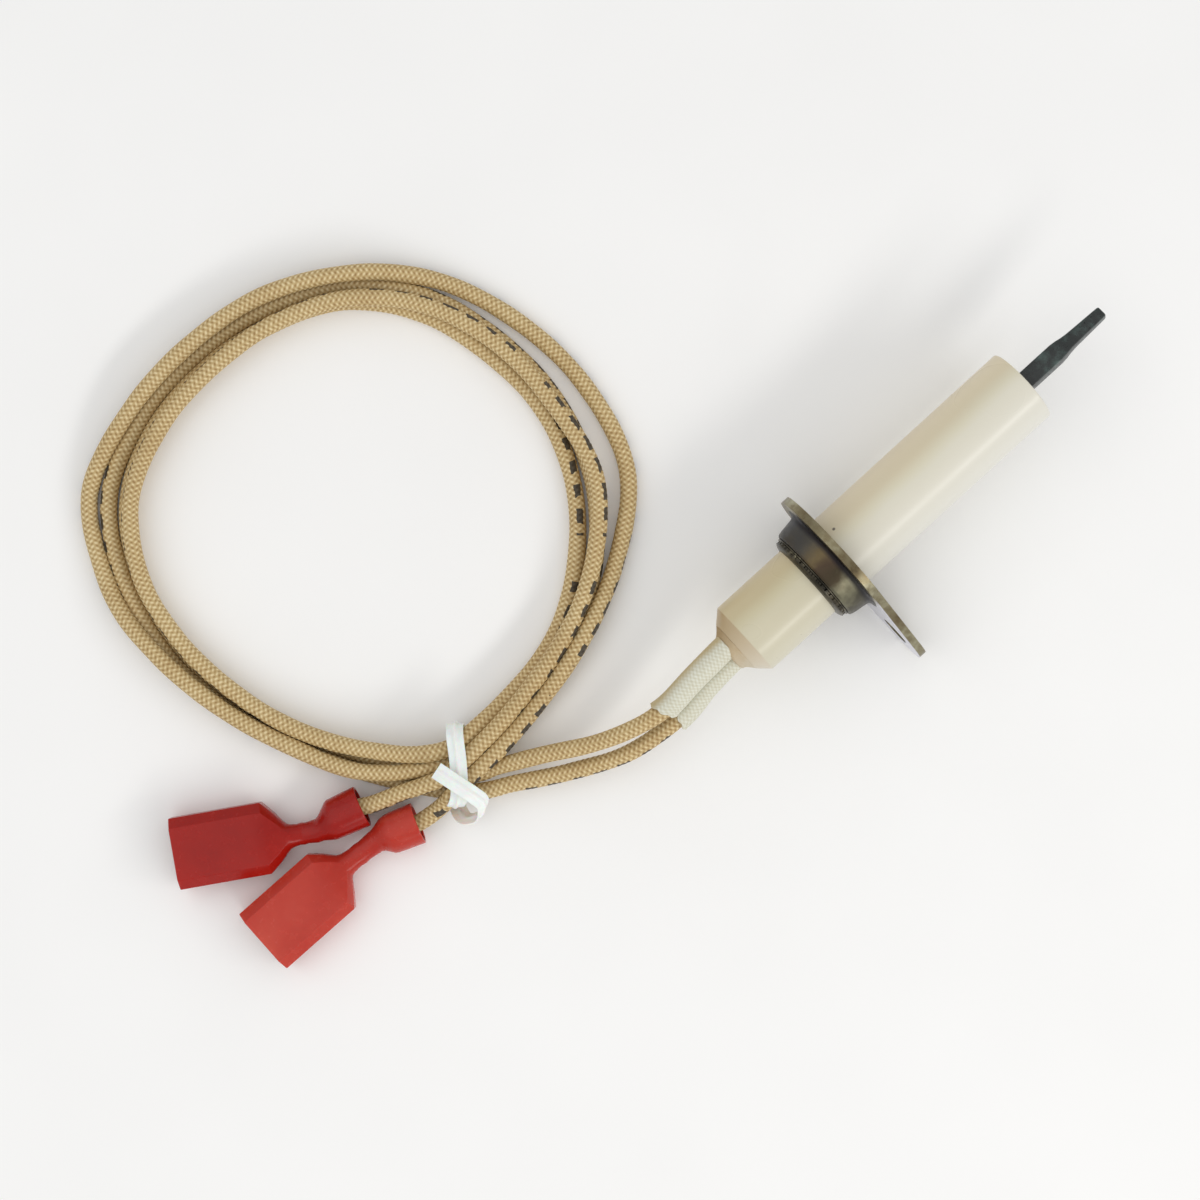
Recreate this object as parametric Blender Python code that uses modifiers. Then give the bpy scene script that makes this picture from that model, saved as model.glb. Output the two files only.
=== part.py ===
"""Hot-surface igniter for a gas boiler: silicon nitride heater in an alumina tube, with a stamped
flange and two braided leads that are coiled, tied and end in insulated push-on receptacles.

The igniter's axis lies along +X and it rests on the surface z = 0. Sizes below are in millimetres."""

import math

import bmesh
import bpy
from mathutils import Vector

MM = 0.001
GAP = 0.3
FINE_GAP = 0.1

# Where the flange's front face and the tube's axis stand in the frame.
FACE_X = -7.8
AXIS_Y = 3.9
AXIS_Z = 9.9

# Ceramic tube, along the axis from the flange's front face.
CERAMIC_R = 5.35
CERAMIC_FRONT = 32.6
CERAMIC_REAR = -16.6
REAR_CONE = 1.6
FRONT_BORE_R = 3.0
REAR_BORE_R = 3.7
BORE_STEP = 17.0

# Heater bar: (distance along the axis, half width, half height).
HEATER_SECTIONS = (
    (10.5, 1.38, 1.2),
    (38.9, 1.38, 1.2),
    (40.9, 0.93, 1.0),
    (46.3, 0.9, 0.95),
    (46.7, 0.6, 0.65),
)

# Mounting flange: a round plate with one screw ear, a drawn collar and a toothed ring behind it.
PLATE_T = 1.1
PLATE_R = 9.9
EAR_R = 4.8
EAR_DISTANCE = 13.87
EAR_DIP = 21.6
SCREW_HOLE_R = 2.15
COLLAR_ROOT_R = 7.9
COLLAR_R = 6.9
COLLAR_REAR = -4.4
RING_REAR = -5.7
RING_R = 6.3
RING_TEETH = 32

# Leads and their sleeves.
LEAD_R = 1.15
SLEEVE_R = 1.7
SLEEVE_WALL = 0.25
CONDUCTOR_R = 0.4
PAIR_TILT = 56.0
PAIR_HALF = 1.7
LEAD_FRONT = -10.0
CEMENT_REAR = -19.4

# The coil of both leads: its centre, and each turn's distance from it every STEP degrees,
# clockwise from the twist tie.
COIL_CENTRE = (-52.7, 49.2)
COIL_START = -110.0
COIL_STEP = 20.0
TURNS = (
    (
        35.4, 30.1, 27.0, 26.5, 27.0, 28.0, 29.2, 28.8, 28.8,
        29.3, 29.6, 29.4, 29.1, 29.3, 29.7, 29.8, 29.5, 29.6,
    ),
    (
        37.6, 32.4, 29.4, 28.9, 29.6, 30.4, 31.7, 32.1, 31.4,
        31.9, 32.6, 33.0, 32.1, 31.9, 32.3, 32.2, 31.9, 32.3,
    ),
    (
        32.2, 29.2, 27.7, 27.2, 27.4, 28.4, 29.5, 29.0, 28.9,
        29.5, 30.5, 31.3, 31.1, 31.8, 32.8, 31.8, 31.1, 31.5,
    ),
    (
        33.2, 32.6, 30.2, 29.9, 31.1, 33.5, 35.7, 34.1, 33.1,
        33.6, 34.3, 35.4, 34.9, 35.7, 36.9, 35.0, 33.1, 33.8,
    ),
)
COIL_TOP = 4.45
COIL_TIE_BOTTOM = 1.35
COIL_TIE_TOP = 5.85
COIL_STATIONS = 72

# Routes of the leads outside the coil: points on each centreline.
RUN_A = (
    (-17.8, 4.85, 11.3),
    (-23.0, 4.85, 11.3),
    (-27.2, 4.85, 11.3),
    (-32.8, 4.6, 10.8),
    (-38.6, 4.15, 9.6),
    (-43.6, 5.1, 8.0),
    (-48.7, 7.1, 6.2),
    (-54.0, 10.1, 4.6),
    (-57.3, 11.6, 3.8),
)
RUN_B = (
    (-17.8, 2.95, 8.5),
    (-23.0, 2.95, 8.5),
    (-27.2, 2.95, 8.5),
    (-32.3, 2.6, 7.9),
    (-37.4, 1.9, 7.0),
    (-45.6, 2.8, 5.2),
    (-53.1, 6.1, 3.6),
    (-59.6, 9.7, 2.8),
    (-61.2, 10.6, 2.7),
)
TAIL_A = ((-75.6, 20.7, 3.2), (-77.2, 21.6, 2.95), (-79.8, 22.45, 2.85))
TAIL_B = ((-70.2, 14.4, 3.1), (-72.9, 14.8, 2.9), (-75.6, 15.8, 2.85))

# Push-on terminals: (x, y, z) of each section's centre from the mouth to the lead end, then the
# directions of the box, the crimped neck and the bell.
TERMINAL_A = (
    (-99.6, 33.6, 2.6),
    (-89.2, 27.0, 2.6),
    (-86.9, 25.1, 2.6),
    (-83.6, 23.1, 2.7),
    (-80.8, 22.75, 2.85),
    (-76.9, 21.5, 2.85),
)
TERMINAL_B = (
    (-98.7, 17.1, 2.6),
    (-86.7, 16.9, 2.6),
    (-84.0, 17.2, 2.6),
    (-78.9, 16.8, 2.7),
    (-76.5, 16.15, 2.85),
    (-72.9, 14.8, 2.85),
)
BOX_HALF_W = 4.8
BOX_HALF_H = 2.6
BOX_BEVEL_W = 1.3
BOX_BEVEL_H = 1.2
BOX_WALL = 0.5
NECK_R = 1.5
NECK_BORE_R = 1.15
BELL_R = (2.75, 2.85)
BELL_BORE_R = (2.35, 2.45)

# Twist tie: (right, down, height, then the ribbon's width direction) in the tie's own frame, where
# down runs across the bundle towards the outside of the coil.
TIE_CENTRE = (-63.35, 17.45)
TIE_DOWN = (-0.674, -0.739)
TIE_RIGHT = (0.739, -0.674)
TIE_PATH = (
    (-2.6, 1.1, 7.95, -0.58, 0.81, 0.0),
    (-0.2, 2.7, 7.95, -0.58, 0.81, 0.0),
    (2.1, 4.3, 7.3, -0.6, 0.8, 0.1),
    (3.4, 5.6, 5.6, -0.6, 0.75, 0.3),
    (2.9, 7.3, 3.9, -0.5, 0.8, 0.4),
    (1.1, 7.9, 2.4, -0.8, 0.5, 0.3),
    (0.0, 6.6, 1.0, -1.0, 0.1, 0.0),
    (-0.2, 4.2, 0.56, -1.0, 0.0, 0.0),
    (-0.2, 0.2, 0.56, -1.0, 0.0, 0.0),
    (-0.3, -3.2, 0.62, -1.0, 0.0, 0.0),
    (-0.3, -4.55, 1.7, -1.0, 0.0, 0.0),
    (-0.3, -4.75, 3.6, -1.0, 0.0, 0.0),
    (-0.3, -4.45, 5.6, -1.0, 0.0, 0.0),
    (-0.2, -3.1, 6.62, -1.0, 0.0, 0.0),
    (0.2, 0.0, 6.7, -1.0, 0.0, 0.0),
    (0.4, 3.6, 6.66, -1.0, 0.0, 0.0),
    (0.2, 5.2, 6.2, -1.0, 0.0, 0.0),
    (-0.2, 5.95, 4.9, -1.0, 0.0, 0.0),
    (-0.4, 6.05, 3.7, -1.0, 0.0, 0.0),
)
TIE_SECTION = (
    (1.25, -0.15),
    (1.25, 0.15),
    (0.45, 0.22),
    (0.0, 0.5),
    (-0.45, 0.22),
    (-1.25, 0.15),
    (-1.25, -0.15),
    (-0.45, -0.22),
    (0.0, -0.5),
    (0.45, -0.22),
)
TIE_CHANNEL_R = 0.28
TIE_WIRE_R = 0.18

COLOURS = {
    "alumina": ((0.82, 0.76, 0.62, 1.0), 0.45, 0.0),
    "nitride": ((0.035, 0.045, 0.043, 1.0), 0.4, 0.0),
    "nickel": ((0.62, 0.6, 0.56, 1.0), 0.3, 1.0),
    "copper": ((0.72, 0.42, 0.3, 1.0), 0.35, 1.0),
    "cement": ((0.58, 0.47, 0.32, 1.0), 0.9, 0.0),
    "steel": ((0.3, 0.28, 0.25, 1.0), 0.4, 1.0),
    "glass_fibre": ((0.8, 0.77, 0.66, 1.0), 0.8, 0.0),
    "lead_braid": ((0.52, 0.36, 0.16, 1.0), 0.8, 0.0),
    "red_nylon": ((0.5, 0.03, 0.03, 1.0), 0.3, 0.0),
    "brass": ((0.78, 0.62, 0.3, 1.0), 0.3, 1.0),
    "white_plastic": ((0.78, 0.79, 0.78, 1.0), 0.4, 0.0),
}


def clear_scene():
    for found in list(bpy.data.objects):
        bpy.data.objects.remove(found, do_unlink=True)


def new_collection(name):
    made = bpy.data.collections.new(name)
    bpy.context.scene.collection.children.link(made)
    return made


def make_materials():
    made = {}
    for name, (colour, roughness, metallic) in COLOURS.items():
        made[name] = bpy.data.materials.new(name)
        made[name].use_nodes = True
        shader = made[name].node_tree.nodes["Principled BSDF"]
        shader.inputs["Base Color"].default_value = colour
        shader.inputs["Roughness"].default_value = roughness
        shader.inputs["Metallic"].default_value = metallic
    return made


clear_scene()
PARTS = new_collection("hot_surface_igniter")
CUTTERS = new_collection("cutters")
MATERIALS = make_materials()


def on_axis(along, across=0.0, up=0.0):
    """A point given from the flange's front face, on the tube's axis."""
    return Vector((FACE_X + along, AXIS_Y + across, AXIS_Z + up)) * MM


def world(point):
    return Vector(point) * MM


def place(obj, collection):
    """Moves an object into one collection only."""
    for owner in list(obj.users_collection):
        owner.objects.unlink(obj)
    collection.objects.link(obj)
    return obj


def finish(obj, material, smooth_angle=35.0):
    """Puts a sub-part in the parts collection with its material and smooth shading."""
    place(obj, PARTS)
    obj.data.materials.clear()
    obj.data.materials.append(MATERIALS[material])
    if obj.type == "MESH":
        obj.data.shade_smooth()
        obj.data.set_sharp_from_angle(angle=math.radians(smooth_angle))
    return obj


def mesh_object(name, points, faces):
    """A mesh of these points and faces with its normals outwards."""
    mesh = bpy.data.meshes.new(name)
    mesh.from_pydata([tuple(p) for p in points], [], faces)
    made = bmesh.new()
    made.from_mesh(mesh)
    bmesh.ops.recalc_face_normals(made, faces=made.faces)
    made.to_mesh(mesh)
    made.free()
    obj = bpy.data.objects.new(name, mesh)
    bpy.context.scene.collection.objects.link(obj)
    return obj


def apply_modifiers(obj):
    """Replaces an object's mesh by what its modifiers make of it."""
    graph = bpy.context.evaluated_depsgraph_get()
    mesh = bpy.data.meshes.new_from_object(obj.evaluated_get(graph), depsgraph=graph)
    obj.modifiers.clear()
    obj.data = mesh
    return obj


def lathe(name, profile, steps=48, across=0.0, up=0.0):
    """A body turned about the tube's axis; profile lists (radius, distance along) round its section."""
    mesh = bpy.data.meshes.new(name)
    points = [(radius * MM, 0.0, along * MM) for radius, along in profile]
    edges = [(i, (i + 1) % len(points)) for i in range(len(points))]
    mesh.from_pydata(points, edges, [])
    obj = bpy.data.objects.new(name, mesh)
    bpy.context.scene.collection.objects.link(obj)
    obj.location = on_axis(0.0, across, up)
    obj.rotation_euler = (0.0, math.radians(90.0), 0.0)
    screw = obj.modifiers.new("turn", "SCREW")
    screw.steps = steps
    screw.render_steps = steps
    screw.use_merge_vertices = True
    screw.merge_threshold = 0.00001
    screw.use_normal_calculate = True
    bpy.context.view_layer.update()
    apply_modifiers(obj)
    outwards(obj)
    return obj


def outwards(obj):
    """Turns a mesh's faces outwards."""
    made = bmesh.new()
    made.from_mesh(obj.data)
    bmesh.ops.recalc_face_normals(made, faces=made.faces)
    made.to_mesh(obj.data)
    made.free()


def loft(name, rings):
    """A solid through rings of equally many points, closed at both ends."""
    count = len(rings[0])
    points = [p for ring in rings for p in ring]
    faces = [tuple(range(count)), tuple(range(len(points) - count, len(points)))]
    faces += side_faces(len(rings), count, 0)
    return mesh_object(name, points, faces)


def shell_loft(name, outer, inner):
    """A tube wall between two sets of rings, open at both ends."""
    count = len(outer[0])
    points = [p for ring in list(outer) + list(inner) for p in ring]
    start = len(outer) * count
    faces = side_faces(len(outer), count, 0) + side_faces(len(inner), count, start)
    last = (len(outer) - 1) * count
    last_inner = start + (len(inner) - 1) * count
    for k in range(count):
        n = (k + 1) % count
        faces.append((k, n, start + n, start + k))
        faces.append((last + k, last + n, last_inner + n, last_inner + k))
    return mesh_object(name, points, faces)


def side_faces(rings, count, start):
    """Quads between neighbouring rings of a loft."""
    faces = []
    for i in range(rings - 1):
        for k in range(count):
            n = (k + 1) % count
            a = start + i * count
            faces.append((a + k, a + n, a + count + n, a + count + k))
    return faces


def catmull_rom(a, b, c, d, t):
    """The curve from b to c, at share t of the way, with a and d as its neighbours."""
    squared = (2 * a - 5 * b + 4 * c - d) * t**2
    cubed = (3 * b - a - 3 * c + d) * t**3
    return 0.5 * (2 * b + (c - a) * t + squared + cubed)


def smooth_route(points, per_span=3):
    """Points along a Catmull-Rom curve through a route's own points."""
    ends = [points[0], *points, points[-1]]
    route = []
    for i in range(len(points) - 1):
        a, b, c, d = (Vector(p) for p in ends[i : i + 4])
        for k in range(per_span):
            t = k / per_span
            route.append(catmull_rom(a, b, c, d, t))
    route.append(Vector(points[-1]))
    return route


def tube(name, points, radius, capped=True, resolution=2):
    """A round tube along points in millimetres."""
    data = bpy.data.curves.new(name, "CURVE")
    data.dimensions = "3D"
    data.bevel_depth = radius * MM
    data.bevel_resolution = resolution
    data.use_fill_caps = capped
    spline = data.splines.new("POLY")
    spline.points.add(len(points) - 1)
    for made, p in zip(spline.points, points):
        made.co = (*world(p), 1.0)
    curve = bpy.data.objects.new(name, data)
    bpy.context.scene.collection.objects.link(curve)
    graph = bpy.context.evaluated_depsgraph_get()
    mesh = bpy.data.meshes.new_from_object(curve.evaluated_get(graph), depsgraph=graph)
    bpy.data.objects.remove(curve, do_unlink=True)
    weld(mesh)
    obj = bpy.data.objects.new(name, mesh)
    bpy.context.scene.collection.objects.link(obj)
    return obj


def weld(mesh):
    """Joins a curve's loose caps to its wall."""
    made = bmesh.new()
    made.from_mesh(mesh)
    bmesh.ops.remove_doubles(made, verts=made.verts, dist=0.000001)
    bmesh.ops.recalc_face_normals(made, faces=made.faces)
    made.to_mesh(mesh)
    made.free()


def hollow_tube(name, points, radius, wall):
    """An open-ended sleeve: an open tube surface thickened inwards."""
    obj = tube(name, points, radius, capped=False, resolution=4)
    thick = obj.modifiers.new("wall", "SOLIDIFY")
    thick.thickness = wall * MM
    thick.offset = -1.0
    bpy.context.view_layer.update()
    apply_modifiers(obj)
    outwards(obj)
    return obj


def cylinder(name, centre, radius, length, vertices=24, collection=None):
    """A cylinder along X about a point in metres."""
    bpy.ops.mesh.primitive_cylinder_add(
        vertices=vertices,
        radius=radius * MM,
        depth=length * MM,
        location=centre,
        rotation=(0.0, math.radians(90.0), 0.0),
    )
    obj = bpy.context.active_object
    obj.name = name
    return place(obj, collection or bpy.context.scene.collection)


def box(name, centre, size, collection=None):
    """A box with its sides along the frame's axes."""
    bpy.ops.mesh.primitive_cube_add(size=1.0, location=centre)
    obj = bpy.context.active_object
    obj.name = name
    obj.scale = [side * MM for side in size]
    bpy.context.view_layer.update()
    bpy.ops.object.transform_apply(location=False, rotation=False, scale=True)
    return place(obj, collection or bpy.context.scene.collection)


def combine(obj, other, operation):
    """Cuts obj by other or joins other to it, and keeps the result as obj's mesh."""
    cut = obj.modifiers.new(operation.lower(), "BOOLEAN")
    cut.operation = operation
    cut.solver = "EXACT"
    cut.object = other
    bpy.context.view_layer.update()
    apply_modifiers(obj)
    place(other, CUTTERS)
    other.hide_render = True
    other.display_type = "WIRE"
    return obj


def pair_offset(side):
    """How far one lead of the pair lies across and above the tube's axis; side is 1 or -1."""
    tilt = math.radians(PAIR_TILT)
    return side * PAIR_HALF * math.cos(tilt), side * PAIR_HALF * math.sin(tilt)


def make_ceramic():
    front_edge = 0.35
    profile = (
        (FRONT_BORE_R, CERAMIC_FRONT),
        (CERAMIC_R - front_edge, CERAMIC_FRONT),
        (CERAMIC_R - 0.1, CERAMIC_FRONT - 0.1),
        (CERAMIC_R, CERAMIC_FRONT - front_edge),
        (CERAMIC_R, CERAMIC_REAR),
        (CERAMIC_R - REAR_CONE + 0.1, CERAMIC_REAR - REAR_CONE),
        (REAR_BORE_R, CERAMIC_REAR - REAR_CONE),
        (REAR_BORE_R, BORE_STEP),
        (FRONT_BORE_R, BORE_STEP),
    )
    return finish(lathe("ceramic_body", profile, steps=64), "alumina")


def bar_ring(along, half_w, half_h):
    """The heater bar's section: a rectangle with bevelled edges."""
    bevel = 0.28
    w, h = half_w, half_h
    corners = ((w, h - bevel), (w - bevel, h), (bevel - w, h), (-w, h - bevel))
    lower = ((-w, bevel - h), (bevel - w, -h), (w - bevel, -h), (w, bevel - h))
    return [on_axis(along, y, z) for y, z in corners + lower]


def make_heater():
    return finish(loft("heater_element", [bar_ring(*s) for s in HEATER_SECTIONS]), "nitride")


def make_heater_wiring():
    """Brazed contacts, nickel wires, crimped splices and the leads' bare conductors inside the tube."""
    pad = (3.4, 1.7, 0.3)
    pad_x = 12.6
    pad_z = HEATER_SECTIONS[0][2] + FINE_GAP + pad[2] / 2
    wire_r = 0.3
    splice_x, splice_half = 3.0, 2.5
    for letter, side in (("a", 1), ("b", -1)):
        across, up = pair_offset(side)
        contact = box(f"contact_{letter}", on_axis(pad_x, 0.0, side * pad_z), pad)
        finish(contact, "nickel")
        start_x = pad_x - pad[0] / 2 - FINE_GAP
        route = (
            (start_x, 0.0, side * pad_z),
            (start_x - 1.5, 0.1 * across, side * pad_z),
            (splice_x + splice_half + 1.2, 0.85 * across, up),
            (splice_x + splice_half - 2.0, across, up),
        )
        points = [on_axis(*p) / MM for p in smooth_route(route)]
        finish(tube(f"nickel_wire_{letter}", points, wire_r), "nickel")
        crimp = (
            (0.8, splice_half),
            (0.8, -splice_half),
            (0.52, -splice_half),
            (0.52, splice_half),
        )
        crimp = [(r, x + splice_x) for r, x in crimp]
        finish(lathe(f"splice_{letter}", crimp, 20, across, up), "nickel")
        front = splice_x - splice_half + 2.0
        ends = [on_axis(x, across, up) / MM for x in (front, LEAD_FRONT + GAP)]
        finish(tube(f"conductor_{letter}", ends, CONDUCTOR_R), "copper")


def make_cement():
    """The plug round the heater at the front and the potting round the leads at the rear."""
    front = cylinder("front_cement", on_axis(30.9), FRONT_BORE_R - GAP, 2.4, 32)
    hole = box("front_cement_hole", on_axis(30.9), (6.0, 3.36, 3.0))
    finish(combine(front, hole, "DIFFERENCE"), "cement")
    radius = REAR_BORE_R - GAP
    profile = (
        (0.0, -13.5),
        (radius, -13.5),
        (radius, CEMENT_REAR + 1.2),
        (radius - 0.25, CEMENT_REAR + 0.7),
        (radius - 0.6, CEMENT_REAR + 0.3),
        (radius - 1.0, CEMENT_REAR),
        (0.0, CEMENT_REAR),
    )
    rear = lathe_capped("rear_cement", profile)
    for side in (1, -1):
        across, up = pair_offset(side)
        hole = cylinder(f"rear_cement_hole_{side}", on_axis(-16.5, across, up), LEAD_R + GAP, 9.0, 20)
        combine(rear, hole, "DIFFERENCE")
    finish(rear, "cement")


def lathe_capped(name, profile, steps=32):
    """A turned body whose profile starts and ends on the axis."""
    rings = [ring_about_axis(radius, along, steps) for radius, along in profile if radius > 0.0]
    return loft(name, rings)


def ring_about_axis(radius, along, steps):
    turns = [2.0 * math.pi * k / steps for k in range(steps)]
    return [on_axis(along, radius * math.cos(a), radius * math.sin(a)) for a in turns]


def add_outline(data, points):
    """One closed outline of a flat 2D curve."""
    spline = data.splines.new("POLY")
    spline.points.add(len(points) - 1)
    for made, (x, y) in zip(spline.points, points):
        made.co = (x * MM, y * MM, 0.0, 1.0)
    spline.use_cyclic_u = True


def flat_body(name, outlines, thickness, centre, rotation):
    """A flat body from outlines in its own plane, thickened both ways."""
    data = bpy.data.curves.new(name, "CURVE")
    data.dimensions = "2D"
    data.fill_mode = "BOTH"
    data.extrude = thickness * MM / 2
    for points in outlines:
        add_outline(data, points)
    curve = bpy.data.objects.new(name, data)
    bpy.context.scene.collection.objects.link(curve)
    graph = bpy.context.evaluated_depsgraph_get()
    mesh = bpy.data.meshes.new_from_object(curve.evaluated_get(graph), depsgraph=graph)
    bpy.data.objects.remove(curve, do_unlink=True)
    weld(mesh)
    obj = bpy.data.objects.new(name, mesh)
    bpy.context.scene.collection.objects.link(obj)
    obj.location = centre
    obj.rotation_euler = rotation
    bpy.context.view_layer.update()
    return obj


def circle_points(radius, count, centre=(0.0, 0.0), start=0.0, sweep=360.0):
    """Points round an arc; a full circle leaves out its last point."""
    steps = count if sweep == 360.0 else count - 1
    angles = [math.radians(start + sweep * k / steps) for k in range(count)]
    return [(centre[0] + radius * math.cos(a), centre[1] + radius * math.sin(a)) for a in angles]


def ear_centre():
    dip = math.radians(EAR_DIP)
    return -EAR_DISTANCE * math.cos(dip), -EAR_DISTANCE * math.sin(dip)


def flange_outline():
    """The outline round the plate and its ear, straight between them."""
    side = math.degrees(math.acos((PLATE_R - EAR_R) / EAR_DISTANCE))
    towards = 180.0 + EAR_DIP
    plate = circle_points(PLATE_R, 40, (0.0, 0.0), towards + side, 360.0 - 2.0 * side)
    ear = circle_points(EAR_R, 16, ear_centre(), towards - side, 2.0 * side)
    return plate + ear


def make_flange():
    """The stamped plate and its drawn collar are one piece."""
    hole_r = CERAMIC_R + GAP
    facing = (math.radians(90.0), 0.0, math.radians(90.0))
    holes = [circle_points(hole_r, 48), circle_points(SCREW_HOLE_R, 24, ear_centre())]
    loops = [flange_outline(), *holes]
    plate = flat_body("mounting_flange", loops, PLATE_T, on_axis(-PLATE_T / 2), facing)
    root = -PLATE_T
    profile = (
        (hole_r + 0.001, root + 0.2),
        (COLLAR_ROOT_R + 0.4, root + 0.2),
        (COLLAR_ROOT_R + 0.4, root - 0.1),
        (COLLAR_ROOT_R - 0.2, root - 0.35),
        (COLLAR_ROOT_R - 0.5, root - 0.9),
        (COLLAR_R + 0.25, root - 1.8),
        (COLLAR_R, COLLAR_REAR + 0.4),
        (COLLAR_R - 0.3, COLLAR_REAR),
        (hole_r + 0.001, COLLAR_REAR),
    )
    collar = lathe("flange_collar", profile, 48)
    finish(combine(plate, collar, "UNION"), "steel")


def make_retaining_ring():
    """A push-on ring with a serrated rim behind the collar."""
    front = COLLAR_REAR - GAP
    thickness = front - RING_REAR
    rim = []
    for k in range(RING_TEETH):
        angle = 360.0 * k / RING_TEETH
        tooth = 360.0 / RING_TEETH
        for radius, share in ((RING_R, 0.0), (RING_R, 0.4), (RING_R - 0.3, 0.55), (RING_R - 0.3, 0.85)):
            turn = math.radians(angle + tooth * share)
            rim.append((radius * math.cos(turn), radius * math.sin(turn)))
    facing = (math.radians(90.0), 0.0, math.radians(90.0))
    centre = on_axis(front - thickness / 2)
    loops = [rim, circle_points(CERAMIC_R + GAP, 48)]
    ring = flat_body("retaining_ring", loops, thickness, centre, facing)
    finish(ring, "steel")


def make_sleeves():
    """Glass-fibre sleeves over the leads, from the potting to the first bend."""
    for letter, run in (("a", RUN_A), ("b", RUN_B)):
        start = Vector(run[2])
        start.x = FACE_X + CEMENT_REAR - GAP
        route = smooth_route((tuple(start), run[3], run[4]), 4)
        finish(hollow_tube(f"lead_sleeve_{letter}", route, SLEEVE_R, SLEEVE_WALL), "glass_fibre")


def make_runs():
    """Each lead from inside the tube to the coil, and from the coil into its terminal."""
    finish(tube("lead_a_run", smooth_route(RUN_A), LEAD_R), "lead_braid")
    finish(tube("lead_b_run", smooth_route(RUN_B), LEAD_R), "lead_braid")
    finish(tube("lead_a_tail", smooth_route(TAIL_A), LEAD_R), "lead_braid")
    finish(tube("lead_b_tail", smooth_route(TAIL_B), LEAD_R), "lead_braid")


def turn_distance(turn, degrees):
    """How far a turn lies from the coil's centre at an angle, clockwise from the tie."""
    place_in = (degrees / COIL_STEP) % len(turn)
    i = int(place_in)
    t = place_in - i
    a, b, c, d = (turn[(i + k) % len(turn)] for k in (-1, 0, 1, 2))
    return catmull_rom(a, b, c, d, t)


def near_tie(degrees):
    """1 at the twist tie, falling to 0 a little way off."""
    away = min(degrees, 360.0 - degrees)
    ease = max(0.0, 1.0 - away / 22.0)
    return ease * ease * (3.0 - 2.0 * ease)


def coil_ring(degrees):
    """The section round all four strands of the coil at an angle."""
    distances = [turn_distance(turn, degrees) for turn in TURNS]
    inner = min(distances) - LEAD_R
    outer = max(distances) + LEAD_R
    lift = near_tie(degrees)
    low = lift * COIL_TIE_BOTTOM
    high = COIL_TOP + lift * (COIL_TIE_TOP - COIL_TOP)
    angle = math.radians(COIL_START - degrees)
    corner = 1.0
    flat = (
        (outer, low + corner),
        (outer, high - corner),
        (outer - 0.3, high - 0.3),
        (outer - corner, high),
        (inner + corner, high),
        (inner + 0.3, high - 0.3),
        (inner, high - corner),
        (inner, low + corner),
        (inner + 0.3, low + 0.3),
        (inner + corner, low),
        (outer - corner, low),
        (outer - 0.3, low + 0.3),
    )
    x, y = COIL_CENTRE
    return [world((x + r * math.cos(angle), y + r * math.sin(angle), z)) for r, z in flat]


def make_coil():
    """One closed ring round the turns of both leads."""
    rings = [coil_ring(360.0 * k / COIL_STATIONS) for k in range(COIL_STATIONS)]
    count = len(rings[0])
    points = [p for ring in rings for p in ring]
    faces = []
    for i in range(COIL_STATIONS):
        following = (i + 1) % COIL_STATIONS
        for k in range(count):
            n = (k + 1) % count
            faces.append((i * count + k, i * count + n, following * count + n, following * count + k))
    finish(mesh_object("lead_coil", points, faces), "lead_braid")


def box_outline(half_w, half_h, bevel_w, bevel_h):
    """Sixteen points round a rectangle with bevelled long edges."""
    w, h = half_w, half_h
    corners = (
        (w, -(h - bevel_h)),
        (w, h - bevel_h),
        (w - bevel_w, h),
        (-(w - bevel_w), h),
        (-w, h - bevel_h),
        (-w, -(h - bevel_h)),
        (-(w - bevel_w), -h),
        (w - bevel_w, -h),
    )
    outline = []
    for i, here in enumerate(corners):
        after = corners[(i + 1) % len(corners)]
        outline.append(here)
        outline.append(((here[0] + after[0]) / 2, (here[1] + after[1]) / 2))
    return outline


def round_outline(radius):
    """Sixteen points round a circle, in step with box_outline."""
    turn = math.radians(22.5)
    return [(radius * math.cos((k - 1) * turn), radius * math.sin((k - 1) * turn)) for k in range(16)]


def section_ring(centre, direction, outline):
    """An outline stood across a level direction, its first number to the left of it."""
    along = Vector((direction[0], direction[1], 0.0)).normalized()
    left = Vector((-along.y, along.x, 0.0))
    return [(Vector(centre) + left * a + Vector((0.0, 0.0, b))) * MM for a, b in outline]


def direction_between(a, b):
    return Vector(b) - Vector(a)


def terminal_rings(places, outlines):
    """Rings at the terminal's six places, turned with its box, neck and bell."""
    box_way = direction_between(places[0], places[1])
    neck_way = direction_between(places[2], places[3])
    bell_way = direction_between(places[4], places[5])
    ways = (box_way, box_way, neck_way, neck_way, bell_way, bell_way)
    return [section_ring(p, way, outline) for p, way, outline in zip(places, ways, outlines)]


def make_housing(letter, places):
    outer = (
        box_outline(BOX_HALF_W, BOX_HALF_H, BOX_BEVEL_W, BOX_BEVEL_H),
        box_outline(BOX_HALF_W, BOX_HALF_H, BOX_BEVEL_W, BOX_BEVEL_H),
        round_outline(NECK_R),
        round_outline(NECK_R),
        round_outline(BELL_R[0]),
        round_outline(BELL_R[1]),
    )
    wall = BOX_WALL
    inside = box_outline(BOX_HALF_W - wall, BOX_HALF_H - wall, BOX_BEVEL_W - 0.2, BOX_BEVEL_H - 0.2)
    inner = (
        inside,
        inside,
        round_outline(NECK_BORE_R),
        round_outline(NECK_BORE_R),
        round_outline(BELL_BORE_R[0]),
        round_outline(BELL_BORE_R[1]),
    )
    outside = terminal_rings(places, outer)
    within = terminal_rings(places, inner)
    shell = shell_loft(f"terminal_housing_{letter}", outside, within)
    finish(shell, "red_nylon", 25.0)


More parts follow.
